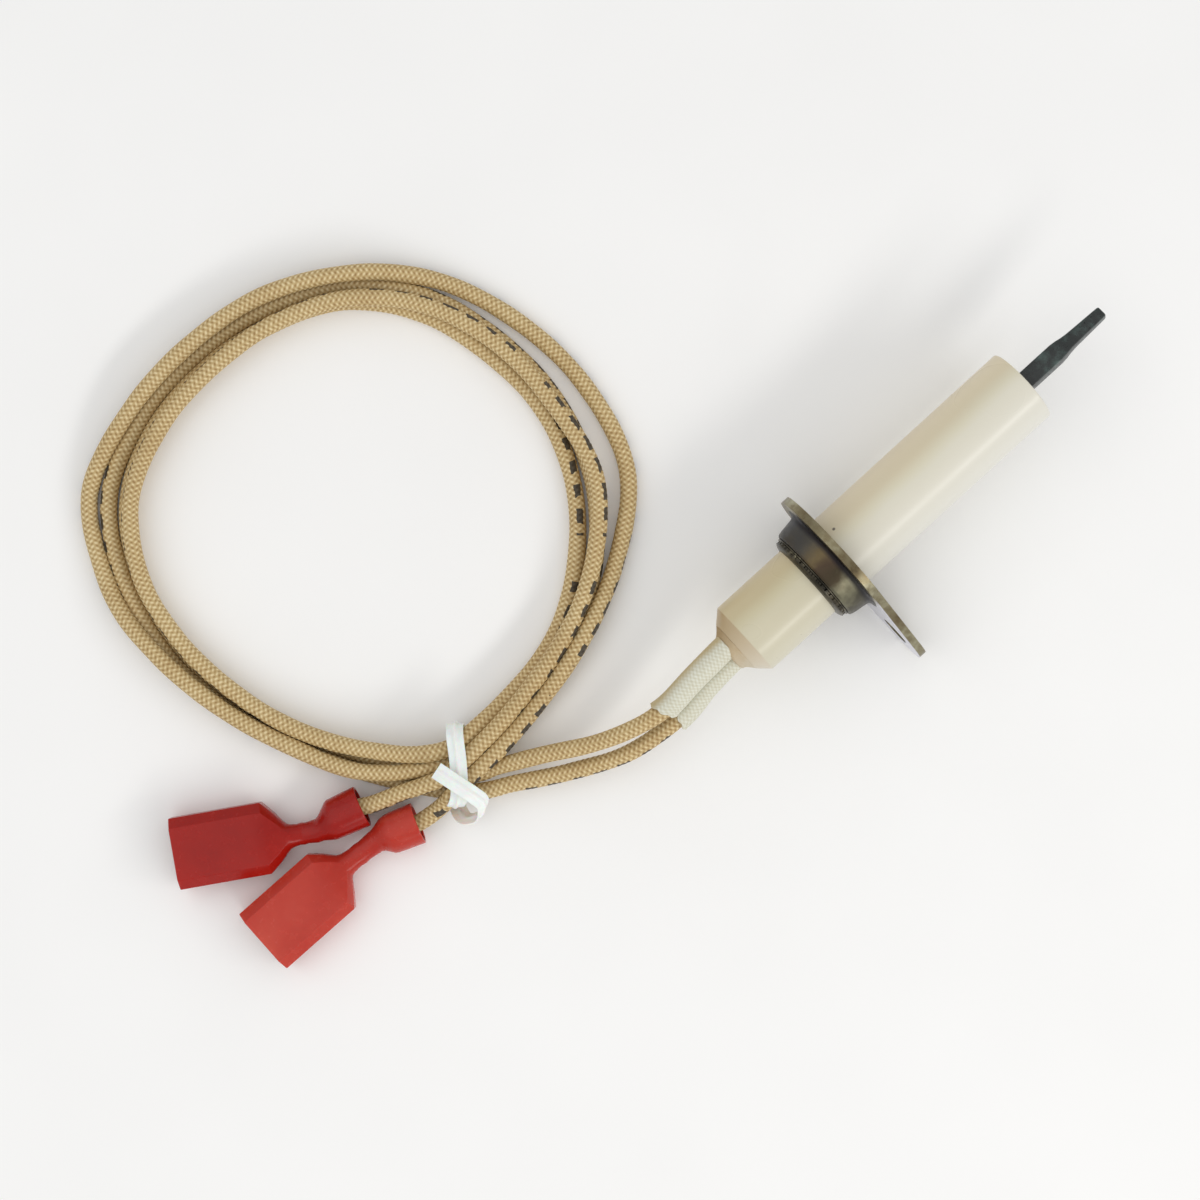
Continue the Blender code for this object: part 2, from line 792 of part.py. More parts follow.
def receptacle_outline():
    """The socket's section: a floor with both edges rolled over a 6.3 mm tab."""
    w, h, t = 3.8, 1.1, 0.4
    lip = 1.9
    right = ((w - 0.3, -h), (w, -h + 0.3), (w, h - 0.3), (w - 0.3, h), (w - lip, h), (w - lip, h - t))
    inside = ((w - t - 0.2, h - t), (w - t, h - t - 0.2), (w - t, -h + t))
    half = right + inside
    return list(half) + [(-a, b) for a, b in reversed(half)]


def make_receptacle(letter, places):
    """Socket, tongue and crimp barrel, one stamped piece of brass."""
    box_way = direction_between(places[0], places[1])
    neck_way = direction_between(places[2], places[3])
    along = box_way.normalized()
    start = Vector(places[0]) + along * 1.2
    end = Vector(places[0]) + along * 9.2
    outline = receptacle_outline()
    socket = loft(f"receptacle_{letter}", [section_ring(p, box_way, outline) for p in (start, end)])
    neck = neck_way.normalized()
    barrel_start = Vector(places[2]) - neck * 1.0
    barrel_end = Vector(places[3]) + neck * 0.4
    tongue_points = (Vector(places[0]) + along * 8.8, Vector(barrel_start) + neck * 0.4)
    flat = ((0.63, -1.01), (0.63, -0.77), (-0.63, -0.77), (-0.63, -1.01))
    tongue_ends = zip(tongue_points, (box_way, neck_way))
    tongue = loft("tongue", [section_ring(p, way, flat) for p, way in tongue_ends])
    ends = (barrel_start, barrel_end)
    outer = [section_ring(p, neck_way, round_outline(0.95)) for p in ends]
    inner = [section_ring(p, neck_way, round_outline(0.62)) for p in ends]
    barrel = shell_loft("barrel", outer, inner)
    combine(socket, tongue, "UNION")
    combine(socket, barrel, "UNION")
    finish(socket, "brass")


def make_terminal_inside(letter, places, tail):
    """The lead's bare conductor in the barrel and the metal sleeve that supports its insulation."""
    neck = direction_between(places[2], places[3]).normalized()
    bell = direction_between(places[4], places[5]).normalized()
    start = Vector(tail[-1]) - bell * GAP
    stop = Vector(places[2]) + neck * 0.8
    middle = Vector(places[3]) + neck * 0.2
    finish(tube(f"terminal_conductor_{letter}", [start, middle, stop], CONDUCTOR_R), "copper")
    ends = (Vector(places[4]) + bell * 0.4, Vector(places[5]) - bell * 0.5)
    outer = [section_ring(p, bell, round_outline(1.95)) for p in ends]
    inner = [section_ring(p, bell, round_outline(1.6)) for p in ends]
    finish(shell_loft(f"support_sleeve_{letter}", outer, inner), "brass")


def tie_point(right, down, height):
    across = Vector((*TIE_RIGHT, 0.0))
    outwards_way = Vector((*TIE_DOWN, 0.0))
    return Vector((*TIE_CENTRE, 0.0)) + across * right + outwards_way * down + Vector((0.0, 0.0, height))


def make_tie():
    """The ribbon of the twist tie, wrapped round the bundle, and the wire in its rib."""
    points = smooth_route([tie_point(*p[:3]) for p in TIE_PATH])
    origin = tie_point(0.0, 0.0, 0.0)
    widths = smooth_route([tie_point(*p[3:]) - origin for p in TIE_PATH])
    outer, inner = [], []
    for i, here in enumerate(points):
        before = points[max(i - 1, 0)]
        after = points[min(i + 1, len(points) - 1)]
        along = (after - before).normalized()
        width = (widths[i] - along * widths[i].dot(along)).normalized()
        normal = along.cross(width)
        outer.append([(here + width * a + normal * b) * MM for a, b in TIE_SECTION])
        turns = [math.radians(36.0 * k - 18.0) for k in range(10)]
        channel = [(TIE_CHANNEL_R * math.cos(t), TIE_CHANNEL_R * math.sin(t)) for t in turns]
        inner.append([(here + width * a + normal * b) * MM for a, b in channel])
    finish(shell_loft("twist_tie", outer, inner), "white_plastic")
    finish(tube("tie_wire", points, TIE_WIRE_R, resolution=1), "steel")


def build():
    make_ceramic()
    make_heater()
    make_heater_wiring()
    make_cement()
    make_flange()
    make_retaining_ring()
    make_sleeves()
    make_runs()
    make_coil()
    for letter, places, tail in (("a", TERMINAL_A, TAIL_A), ("b", TERMINAL_B, TAIL_B)):
        make_housing(letter, places)
        make_receptacle(letter, places)
        make_terminal_inside(letter, places, tail)
    make_tie()


build()
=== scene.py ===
"""Visual model of a boiler's hot-surface igniter, lying with its leads coiled and tied."""

import math

import bmesh
import bpy
import numpy as np
from mathutils import Matrix, Vector


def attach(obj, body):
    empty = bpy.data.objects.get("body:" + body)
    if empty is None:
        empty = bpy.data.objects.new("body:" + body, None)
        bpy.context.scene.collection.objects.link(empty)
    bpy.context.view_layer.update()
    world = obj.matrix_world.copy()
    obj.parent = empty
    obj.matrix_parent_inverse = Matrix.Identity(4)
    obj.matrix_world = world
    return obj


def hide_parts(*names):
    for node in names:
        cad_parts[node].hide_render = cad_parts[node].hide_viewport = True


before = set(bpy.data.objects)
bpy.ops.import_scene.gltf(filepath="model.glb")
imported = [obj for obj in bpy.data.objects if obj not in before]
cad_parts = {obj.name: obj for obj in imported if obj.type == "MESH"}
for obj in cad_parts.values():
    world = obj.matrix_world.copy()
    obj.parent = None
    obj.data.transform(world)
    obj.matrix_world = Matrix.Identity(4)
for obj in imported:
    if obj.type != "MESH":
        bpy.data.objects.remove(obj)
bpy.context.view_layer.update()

MM = 0.001
BODY = "root"

# ---------------------------------------------------------------- sizes, in millimetres, as in the CAD

FACE_X, AXIS_Y, AXIS_Z = -7.8, 3.9, 9.9
CERAMIC_R, CERAMIC_FRONT, CERAMIC_REAR = 5.35, 32.6, -16.6
FLECK = (-6.5, 6.8, 14.4)
HEATER_TURN = -0.26
LEAD_R = 1.15
SLEEVE_R, SLEEVE_WALL = 1.7, 0.25
SLEEVE_START, SLEEVE_END_A, SLEEVE_END_B = -26.7, -38.9, -37.9
PLATE_T, PLATE_R, EAR_R = 1.1, 9.9, 4.8
EAR_DISTANCE, EAR_DIP, SCREW_HOLE_R = 13.87, 21.6, 2.15
FLANGE_HOLE_R = CERAMIC_R + 0.3

COIL_CENTRE = (-52.7, 49.2)
COIL_START, COIL_STEP = -110.0, 20.0

# Each lead's two turns: distance from the coil's centre, and height, at every step clockwise
# from the tie.
LEAD_A_TURNS = (
    (
        35.4, 30.3, 27.9, 27.4, 28.4, 29.9, 31.0, 30.4, 29.8,
        29.8, 30.8, 30.2, 29.4, 29.7, 29.6, 29.55, 30.0, 30.4,
    ),
    (
        31.9, 29.25, 27.65, 27.0, 27.75, 29.3, 30.2, 29.4, 28.85,
        29.55, 30.8, 31.3, 31.1, 31.2, 32.7, 31.9, 31.3, 31.5, 34.4,
    ),
)
LEAD_A_HEIGHTS = (
    (2.5, 1.4, *[1.15] * 14, 1.3, 2.6),
    (4.65, 3.8, *[3.45] * 8, 3.4, 3.2, 3.4, 3.45, 3.45, 3.45, 3.3, 3.7, 4.65),
)
LEAD_B_TURNS = (
    (
        37.6, 32.4, 30.1, 29.7, 30.7, 32.0, 33.5, 32.8, 31.9,
        32.1, 33.0, 32.6, 31.75, 31.75, 32.2, 32.1, 32.2, 32.6,
    ),
    (
        33.2, 32.3, 30.05, 29.8, 31.1, 33.8, 36.1, 33.9, 33.1,
        33.6, 33.95, 35.0, 35.25, 36.1, 37.0, 34.8, 33.2, 33.6, 36.6,
    ),
)
LEAD_B_HEIGHTS = (
    (2.5, 1.4, *[1.15] * 14, 1.2, 1.6),
    (2.9, 3.5, 3.4, 3.3, 2.9, 1.6, 1.15, 2.4, 2.8, 2.8, 2.7, 1.6, 1.15, 1.15, 1.15, 1.4, 3.0, 3.6, 4.65),
)
RUN_A = (
    (-17.8, 4.85, 11.3),
    (-23.0, 4.85, 11.3),
    (-27.2, 4.85, 11.3),
    (-32.8, 4.6, 10.8),
    (-38.6, 4.15, 9.6),
    (-43.6, 5.1, 8.0),
    (-48.7, 7.1, 6.2),
    (-54.0, 10.1, 4.6),
    (-59.6, 13.1, 3.2),
)
RUN_B = (
    (-17.8, 2.95, 8.5),
    (-23.0, 2.95, 8.5),
    (-27.2, 2.95, 8.5),
    (-32.3, 2.6, 7.9),
    (-37.4, 1.9, 7.0),
    (-45.6, 2.8, 5.2),
    (-53.1, 6.1, 3.6),
    (-59.6, 9.9, 2.8),
)
TAIL_A = (
    (-67.9, 17.6, 4.5),
    (-71.6, 19.2, 3.9),
    (-75.6, 20.7, 3.2),
    (-77.2, 21.6, 2.95),
    (-79.8, 22.45, 2.85),
)
TAIL_B = (
    (-67.7, 14.5, 3.9),
    (-70.2, 14.4, 3.1),
    (-72.9, 14.8, 2.9),
    (-75.6, 15.8, 2.85),
)

# Side that each lead's printed marks face, in degrees from the top towards the outside of the coil.
MARKS_A = (
    (*[115] * 10, 88, 82, 72, 58, 24, 18, 35, 60),
    (110, 100, 92, 88, *[86] * 6, 84, 76, 62, 56, 58, 60, 62, 90, 100),
)
MARKS_B = (
    (*[110] * 3, 95, 80, 72, 68, 78, 95, 100, 95, 85, 80, 80, 80, 80, 80, 90),
    (100, *[130] * 13, 125, 90, 52, 55, 72),
)
MARKS_RUN_A, MARKS_TAIL_A = 130, (95, 85, 80, 80, 80)
MARKS_RUN_B, MARKS_TAIL_B = 82, (50, 20, -10, -20)

# Along each housing: mouth, shoulder, neck, bell's start, bell's root and bell's end.
TERMINAL_A = (
    (-99.6, 33.6, 2.6),
    (-89.2, 27.0, 2.6),
    (-86.9, 25.1, 2.6),
    (-83.6, 23.1, 2.7),
    (-80.8, 22.75, 2.85),
    (-76.9, 21.5, 2.85),
)
TERMINAL_B = (
    (-98.7, 17.1, 2.6),
    (-86.7, 16.9, 2.6),
    (-84.0, 17.2, 2.6),
    (-78.9, 16.8, 2.7),
    (-76.5, 16.15, 2.85),
    (-72.9, 14.8, 2.85),
)
BOX_HALF_W, BOX_HALF_H, BOX_BEVEL_W, BOX_BEVEL_H, BOX_WALL = 4.8, 2.6, 1.3, 1.2, 0.5

# The ribbon's path, as right, down and height from its centre, then the way its width points.
TIE_CENTRE = (-63.35, 17.45)
TIE_DOWN = (-0.674, -0.739)
TIE_RIGHT = (0.739, -0.674)
TIE_PATH = (
    (-2.6, 1.1, 7.95, -0.58, 0.81, 0.0),
    (-0.2, 2.7, 7.95, -0.58, 0.81, 0.0),
    (2.1, 4.3, 7.3, -0.6, 0.8, 0.1),
    (3.4, 5.6, 5.6, -0.6, 0.75, 0.3),
    (2.9, 7.3, 3.9, -0.5, 0.8, 0.4),
    (1.1, 7.9, 2.4, -0.8, 0.5, 0.3),
    (0.0, 6.6, 1.0, -1.0, 0.1, 0.0),
    (-0.2, 4.2, 0.56, -1.0, 0.0, 0.0),
    (-0.2, 0.2, 0.56, -1.0, 0.0, 0.0),
    (-0.3, -3.2, 0.62, -1.0, 0.0, 0.0),
    (-0.3, -4.55, 1.7, -1.0, 0.0, 0.0),
    (-0.3, -4.75, 3.6, -1.0, 0.0, 0.0),
    (-0.3, -4.45, 5.6, -1.0, 0.0, 0.0),
    (-0.2, -3.1, 6.62, -1.0, 0.0, 0.0),
    (0.2, 0.0, 6.7, -1.0, 0.0, 0.0),
    (0.4, 3.6, 6.66, -1.0, 0.0, 0.0),
    (0.2, 5.2, 6.2, -1.0, 0.0, 0.0),
    (-0.2, 5.95, 4.9, -1.0, 0.0, 0.0),
    (-0.4, 6.05, 3.7, -1.0, 0.0, 0.0),
)


def hermite(values, at):
    """Catmull-Rom curve through rows of values, at a place counted in rows."""
    rows = np.asarray(values, float)
    at = np.clip(np.asarray(at, float), 0.0, len(rows) - 1.0)
    i = np.minimum(at.astype(int), len(rows) - 2)
    t = (at - i)[:, None]
    a, b, c, d = (rows[np.clip(i + k, 0, len(rows) - 1)] for k in (-1, 0, 1, 2))
    squared = (2 * a - 5 * b + 4 * c - d) * t**2
    cubed = (3 * b - a - 3 * c + d) * t**3
    return 0.5 * (2 * b + (c - a) * t + squared + cubed)


def spaced(line, step):
    """The line with its points a step apart."""
    along = np.concatenate([[0.0], np.cumsum(np.linalg.norm(np.diff(line[:, :3], axis=0), axis=1))])
    count = max(2, round(along[-1] / step) + 1)
    at = np.linspace(0.0, along[-1], count)
    return np.stack([np.interp(at, along, column) for column in line.T], axis=1)


def fine(points, step=0.5, each=24):
    """The curve through the points, with each points between two rows, spaced a step apart."""
    rows = np.asarray(points, float)
    return spaced(hermite(rows, np.linspace(0, len(rows) - 1, each * len(rows))), step)


# ---------------------------------------------------------------- lead centrelines


def lead_line(run, coil, tail):
    """A lead's centreline in millimetres, and the side its marks face: run, two turns and tail."""
    distance, height, side = (np.concatenate([np.array(t, float) for t in pair]) for pair in coil)
    angle = np.radians(COIL_START - COIL_STEP * np.arange(len(distance)))
    x = COIL_CENTRE[0] + distance * np.cos(angle)
    y = COIL_CENTRE[1] + distance * np.sin(angle)
    before = [(*p, run[1]) for p in run[0]]
    after = [(*p, q) for p, q in zip(*tail)]
    return fine(np.concatenate([before, np.stack([x, y, height, side], axis=1), after]), 1.0)


def relax(lines, rounds=150):
    """Pushes strands that lie in each other apart, smoothly, and keeps them on the floor."""
    reach, own_stretch = 4.5, 6
    run_held, tail_held, run_limit = 26, 7, -45.0
    push, most, spread, fade = 0.3, 0.25, 0.2, 0.985
    start = np.concatenate([line[:, :3] for line in lines])
    at = start.copy()
    which = np.concatenate([np.full(len(line), k) for k, line in enumerate(lines)])
    index = np.concatenate([np.arange(len(line)) for line in lines])
    near = np.linalg.norm(start[:, None] - start[None], axis=2) < reach
    same = (which[:, None] == which[None]) & (np.abs(index[:, None] - index[None]) < own_stretch)
    i, j = np.nonzero(np.triu(near & ~same, 1))
    held = (index < run_held) & (start[:, 0] > run_limit)
    for k, line in enumerate(lines):
        held |= (which == k) & (index > len(line) - tail_held)
    gap = 2.0 * LEAD_R * 0.99
    for _ in range(rounds):
        apart = at[j] - at[i]
        far = np.maximum(np.linalg.norm(apart, axis=1), 1e-6)
        step = apart / far[:, None] * (np.maximum(gap - far, 0.0) * push)[:, None]
        move = np.zeros_like(at)
        np.add.at(move, i, -step)
        np.add.at(move, j, step)
        shift = at + np.clip(move, -most, most) - start
        for k in range(len(lines)):
            own = np.flatnonzero(which == k)
            part = shift[own]
            part[1:-1] = (1.0 - 2.0 * spread) * part[1:-1] + spread * (part[:-2] + part[2:])
            shift[own] = part
        at = start + fade * shift
        at[:, 2] = np.maximum(at[:, 2], LEAD_R + 0.02)
        at[held] = start[held]
    made, first = [], 0
    for line in lines:
        made.append(np.column_stack([at[first : first + len(line)], line[:, 3]]))
        first += len(line)
    return made


# ---------------------------------------------------------------- mesh helpers


def mesh_piece(name, points, faces, smooth=40.0, uv=None):
    """A piece from points in millimetres."""
    mesh = bpy.data.meshes.new(name)
    mesh.from_pydata([tuple(float(x) * MM for x in p) for p in points], [], faces)
    if uv is not None:
        layer = mesh.uv_layers.new(name="UVMap")
        layer.data.foreach_set("uv", np.asarray(uv, np.float32).ravel())
    obj = bpy.data.objects.new(name, mesh)
    bpy.context.scene.collection.objects.link(obj)
    mesh.shade_smooth()
    mesh.set_sharp_from_angle(angle=math.radians(smooth))
    return obj


def face_outwards(obj):
    made = bmesh.new()
    made.from_mesh(obj.data)
    bmesh.ops.recalc_face_normals(made, faces=made.faces)
    made.to_mesh(obj.data)
    made.free()
    return obj


def wall_faces(rings, count, closed=False):
    """The quads between rings of count points each."""
    faces = []
    for i in range(rings if closed else rings - 1):
        here = i * count
        after = (i + 1) % rings * count
        for k in range(count):
            n = (k + 1) % count
            faces.append((here + k, here + n, after + n, after + k))
    return faces


def loft_piece(name, rings, smooth=40.0):
    """A solid through rings, closed by a fan at both ends."""
    count = len(rings[0])
    points = [p for ring in rings for p in ring]
    faces = wall_faces(len(rings), count)
    faces.append(tuple(range(count)))
    faces.append(tuple(range(len(points) - count, len(points))))
    return face_outwards(mesh_piece(name, points, faces, smooth))


def loop_piece(name, rings, smooth=40.0):
    """A wall whose last ring joins its first: a sleeve or a turned body with a bore."""
    points = [p for ring in rings for p in ring]
    faces = wall_faces(len(rings), len(rings[0]), closed=True)
    return face_outwards(mesh_piece(name, points, faces, smooth))


def axis_point(along, across, up):
    return (FACE_X + along, AXIS_Y + across, AXIS_Z + up)


def turned_ring(radius, along, steps):
    """A ring about the tube's axis."""
    angles = np.linspace(0.0, 2.0 * np.pi, steps, endpoint=False)
    return [axis_point(along, radius * math.cos(a), radius * math.sin(a)) for a in angles]


def arc(radius, start, sweep, count, centre=(0.0, 0.0)):
    steps = count if abs(sweep) >= 360.0 else count - 1
    angles = [math.radians(start + sweep * k / steps) for k in range(count)]
    return [(centre[0] + radius * math.cos(a), centre[1] + radius * math.sin(a)) for a in angles]


def bevel(obj, width, segments=3, angle=30.0):
    made = obj.modifiers.new("edges", "BEVEL")
    made.width = width * MM
    made.segments = segments
    made.limit_method = "ANGLE"
    made.angle_limit = math.radians(angle)
    return obj


def ride_on(obj, *nodes, slot=None):
    """Attaches a piece to the part and hides the CAD nodes that it stands for."""
    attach(obj, BODY)
    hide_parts(*nodes)
    return obj


# ---------------------------------------------------------------- materials


class Shade:
    """A material whose nodes are written as short calls."""

    def __init__(self, name, **values):
        self.material = bpy.data.materials.new(name)
        self.material.use_nodes = True
        self.tree = self.material.node_tree
        self.shader = self.tree.nodes["Principled BSDF"]
        for key, value in values.items():
            self.shader.inputs[key.replace("_", " ")].default_value = value

    def node(self, kind, **options):
        made = self.tree.nodes.new(kind)
        for key, value in options.items():
            setattr(made, key, value)
        return made

    def link(self, source, target):
        if isinstance(source, (int, float)):
            target.default_value = source
        elif isinstance(source, tuple):
            opaque = (1.0,) * (len(target.default_value) - len(source))
            target.default_value = (*source, *opaque)
        else:
            self.tree.links.new(source, target)

    def coords(self):
        return self.node("ShaderNodeTexCoord").outputs["Object"]

    def scaled(self, vector, scale):
        made = self.node("ShaderNodeMapping")
        self.link(vector, made.inputs["Vector"])
        made.inputs["Scale"].default_value = scale
        return made.outputs["Vector"]

    def noise(self, scale, detail=4.0, roughness=0.55, vector=None):
        made = self.node("ShaderNodeTexNoise")
        self.link(vector if vector is not None else self.coords(), made.inputs["Vector"])
        made.inputs["Scale"].default_value = scale
        made.inputs["Detail"].default_value = detail
        made.inputs["Roughness"].default_value = roughness
        return made.outputs["Fac"]

    def voronoi(self, scale):
        made = self.node("ShaderNodeTexVoronoi")
        self.link(self.coords(), made.inputs["Vector"])
        made.inputs["Scale"].default_value = scale
        return made.outputs["Distance"]

    def math(self, operation, a, b=0.0, c=0.0):
        made = self.node("ShaderNodeMath", operation=operation)
        for value, socket in zip((a, b, c), made.inputs):
            self.link(value, socket)
        return made.outputs["Value"]

    def ramp(self, value, *stops):
        """Colour by value; each stop is (place, colour)."""
        made = self.node("ShaderNodeValToRGB")
        self.link(value, made.inputs["Fac"])
        points = made.color_ramp.elements
        while len(points) < len(stops):
            points.new(0.5)
        for point, (place, colour) in zip(points, stops):
            point.position = place
            point.color = (*colour, 1.0)
        return made.outputs["Color"]

    def band(self, value, low, high, to_low=0.0, to_high=1.0):
        made = self.node("ShaderNodeMapRange")
        self.link(value, made.inputs["Value"])
        limits = {"From Min": low, "From Max": high, "To Min": to_low, "To Max": to_high}
        for key, number in limits.items():
            made.inputs[key].default_value = number
        return made.outputs["Result"]

    def mix(self, share, a, b, blend="MIX"):
        made = self.node("ShaderNodeMix", data_type="RGBA", blend_type=blend)
        self.link(share, made.inputs["Factor"])
        self.link(a, made.inputs[6])
        self.link(b, made.inputs[7])
        return made.outputs[2]

    def set(self, key, source):
        self.link(source, self.shader.inputs[key])
        return self

    def bump(self, height, distance, strength=1.0):
        made = self.node("ShaderNodeBump")
        made.inputs["Strength"].default_value = strength
        made.inputs["Distance"].default_value = distance * MM
        self.link(height, made.inputs["Height"])
        self.link(made.outputs["Normal"], self.shader.inputs["Normal"])
        return self

    def on(self, *objects):
        for obj in objects:
            obj.data.materials.clear()
            obj.data.materials.append(self.material)
        return self


# Yarn crowns around each braid, and millimetres from one to the next along it.
BRAID_COLUMNS, BRAID_PITCH = 6.0, 0.74
SLEEVE_COLUMNS, SLEEVE_PITCH = 11.0, 0.55
BRAID_LEAN = 0.6
MARK_PITCH, MARK_SHARE, MARK_HALF_WIDTH = 3.2, 0.56, 0.068
MARK_GROUP, GROUP_START, GROUP_SHARE = 27.0, 6.0, 0.82


def braid_crown(turn, way):
    """Height of a diamond braid: staggered rows of yarn crowns that lean left and right by turns."""
    return 0.5 + 0.5 * np.cos(turn) * np.cos(way + BRAID_LEAN * np.sin(turn))


def braid_shade(name, columns, pitch):
    """(material, crown, around, along) for a braid that follows the piece's own girth and length."""
    m = Shade(name, Roughness=0.62)
    split = m.node("ShaderNodeSeparateXYZ")
    uv = m.node("ShaderNodeUVMap", uv_map="UVMap")
    m.link(uv.outputs["UV"], split.inputs["Vector"])
    around, along = split.outputs["X"], split.outputs["Y"]
    turn = m.math("MULTIPLY", around, 2.0 * math.pi * columns)
    way = m.math("MULTIPLY", along, 2.0 * math.pi / pitch)
    lean = m.math("MULTIPLY", m.math("SINE", turn), BRAID_LEAN)
    wave = m.math("MULTIPLY", m.math("COSINE", turn), m.math("COSINE", m.math("ADD", way, lean)))
    crown = m.band(wave, -1.0, 1.0)
    return m, crown, around, along


def lead_braid():
    """Varnished glass braid with the black marks of its printing left as plain broken dashes."""
    m, crown, around, along = braid_shade("lead_braid", BRAID_COLUMNS, BRAID_PITCH)
    speckle = m.noise(1500.0, 3.0, 0.7)
    patch = m.noise(110.0, 3.0, 0.6)
    tone = m.math("ADD", crown, m.math("MULTIPLY", m.math("SUBTRACT", speckle, 0.5), 0.6))
    tone = m.math("ADD", tone, m.math("MULTIPLY", m.math("SUBTRACT", patch, 0.5), 0.5))
    # Partly painted light: the ramp follows the yarn crowns, with dark brown in the hollows between them
    # as painted shade and pale cream on the crowns as painted highlight, over the braid's own tan with
    # random speckle and patches.
    stops = (
        (0.08, (0.34, 0.21, 0.08)),
        (0.32, (0.48, 0.335, 0.145)),
        (0.66, (0.56, 0.415, 0.2)),
        (0.94, (0.74, 0.61, 0.35)),
    )
    colour = m.ramp(tone, *stops)
    beside = m.math("ABSOLUTE", m.math("SUBTRACT", around, 0.5))
    ragged = m.math("MULTIPLY", m.math("SUBTRACT", m.noise(900.0, 3.0), 0.5), 0.11)
    inside = m.math("LESS_THAN", m.math("ADD", beside, ragged), MARK_HALF_WIDTH)
    wobble = m.math("MULTIPLY", m.math("SUBTRACT", m.noise(420.0, 2.0), 0.5), 0.5)
    place = m.math("ADD", m.math("DIVIDE", along, MARK_PITCH), m.math("MULTIPLY", wobble, 0.5))
    on_dash = m.math("LESS_THAN", m.math("ADD", m.math("FRACT", place), wobble), MARK_SHARE)
    group = m.math("FRACT", m.math("DIVIDE", m.math("ADD", along, GROUP_START), MARK_GROUP))
    on_group = m.math("MULTIPLY", m.math("LESS_THAN", group, GROUP_SHARE), 0.92)
    share = m.math("MULTIPLY", m.math("MULTIPLY", inside, on_dash), on_group)
    m.set("Base Color", m.mix(share, colour, (0.02, 0.018, 0.017)))
    m.set("Roughness", m.band(crown, 0.0, 1.0, 0.75, 0.48))
    return m.bump(m.math("ADD", crown, m.math("MULTIPLY", speckle, 0.4)), 0.04, 0.6)


def sleeve_braid():
    """Fine cream glass braid, with painted shade in tan along the side turned away from the key light.
    """
    m, crown, around, along = braid_shade("glass_sleeve", SLEEVE_COLUMNS, SLEEVE_PITCH)
    speckle = m.noise(1300.0, 4.0, 0.7)
    tone = m.math("ADD", m.math("MULTIPLY", crown, 0.5), m.math("MULTIPLY", speckle, 0.5))
    # Partly painted light: paler on the yarn crowns and darker between them, as painted highlight and
    # painted shade over the braid's own cream.
    stops = ((0.2, (0.56, 0.53, 0.40)), (0.5, (0.64, 0.63, 0.51)), (0.8, (0.74, 0.75, 0.66)))
    colour = m.ramp(tone, *stops)
    # Painted shade: a tan band along the +Y side, which is turned away from the key light.
    patch = m.math("MULTIPLY", m.math("SUBTRACT", m.noise(260.0, 3.0, 0.6), 0.5), 0.12)
    beside = m.math("ABSOLUTE", m.math("SUBTRACT", around, 0.81))
    painted_shade_side = m.band(m.math("ADD", beside, patch), 0.03, 0.13, 0.85, 0.0)
    colour = m.mix(painted_shade_side, colour, (0.49, 0.385, 0.19))
    m.set("Base Color", colour)
    return m.bump(tone, 0.03, 0.6)


def metal_material(name, colour, rough, scale=900.0):
    """Drawn or stamped metal with fine scratches and slight tarnish."""
    m = Shade(name, Metallic=1.0)
    stretched = m.scaled(m.coords(), (0.15, 1.0, 1.0))
    grain = m.noise(scale, 4.0, 0.6, stretched)
    stain = m.noise(120.0, 3.0)
    darker = tuple(0.7 * c for c in colour)
    m.set("Base Color", m.ramp(stain, (0.35, darker), (0.65, colour)))
    m.set("Roughness", m.band(grain, 0.3, 0.7, rough * 0.75, rough * 1.25))
    return m.bump(grain, 0.01, 0.4)


# ---------------------------------------------------------------- the pieces


def frames(path):
    """Tangent, left and top directions along a path."""
    tangent = np.gradient(path, axis=0)
    tangent /= np.linalg.norm(tangent, axis=1)[:, None]
    left = np.cross([0.0, 0.0, 1.0], tangent)
    left /= np.linalg.norm(left, axis=1)[:, None]
    return tangent, left, np.cross(tangent, left)


def braided_tube(name, line, radius, around=40, step=0.2, relief=0.07):
    """A tube with a diamond braid raised on it, and its path, from its centreline in millimetres."""
    line = spaced(line, step)
    path, side = line[:, :3], np.radians(line[:, 3])
    tangent, left, top = frames(path)
    along = np.arange(len(path)) * step
    share = np.arange(around) / around
    theta = 2.0 * np.pi * (share[None] - 0.5) + side[:, None]
    turn, way = BRAID_COLUMNS * share[None], along[:, None] / BRAID_PITCH
    crown = braid_crown(2.0 * np.pi * turn, 2.0 * np.pi * way)
    wander = 0.02 * np.sin(along * 0.37) + 0.015 * np.sin(along * 0.91 + 1.3)
    r = radius + relief * (crown - 0.65) + wander[:, None]
    across = np.cos(theta)[..., None] * top[:, None] + np.sin(theta)[..., None] * left[:, None]
    points = path[:, None] + r[..., None] * across
    rings = len(path)
    i = np.arange(rings - 1)[:, None] * around
    k = np.arange(around)[None]
    n = (k + 1) % around
    quads = np.stack([i + k, i + around + k, i + around + n, i + n], axis=2).reshape(-1, 4)
    corner = np.zeros((rings - 1, around, 4, 2))
    corner[..., 0, 0] = corner[..., 1, 0] = share[None]
    corner[..., 2, 0] = corner[..., 3, 0] = share[None] + 1.0 / around
    corner[..., 0, 1] = corner[..., 3, 1] = along[:-1, None]
    corner[..., 1, 1] = corner[..., 2, 1] = along[1:, None]
    faces = [tuple(q) for q in quads.tolist()]
    faces.append(tuple(range(around)))
    faces.append(tuple(range((rings - 1) * around, rings * around))[::-1])
    uv = np.concatenate([corner.reshape(-1, 2), np.zeros((2 * around, 2))])
    return mesh_piece(name, points.reshape(-1, 3), faces, 60.0, uv), path


def make_leads(lines):
    golden = lead_braid()
    made = []
    for letter, line in zip("ab", lines):
        obj, path = braided_tube(f"lead_{letter}", line, LEAD_R)
        golden.on(obj)
        ride_on(obj, f"lead_{letter}_run", "lead_coil", f"lead_{letter}_tail", slot="lead_braid")
        made.append((obj, path * MM))
    return made


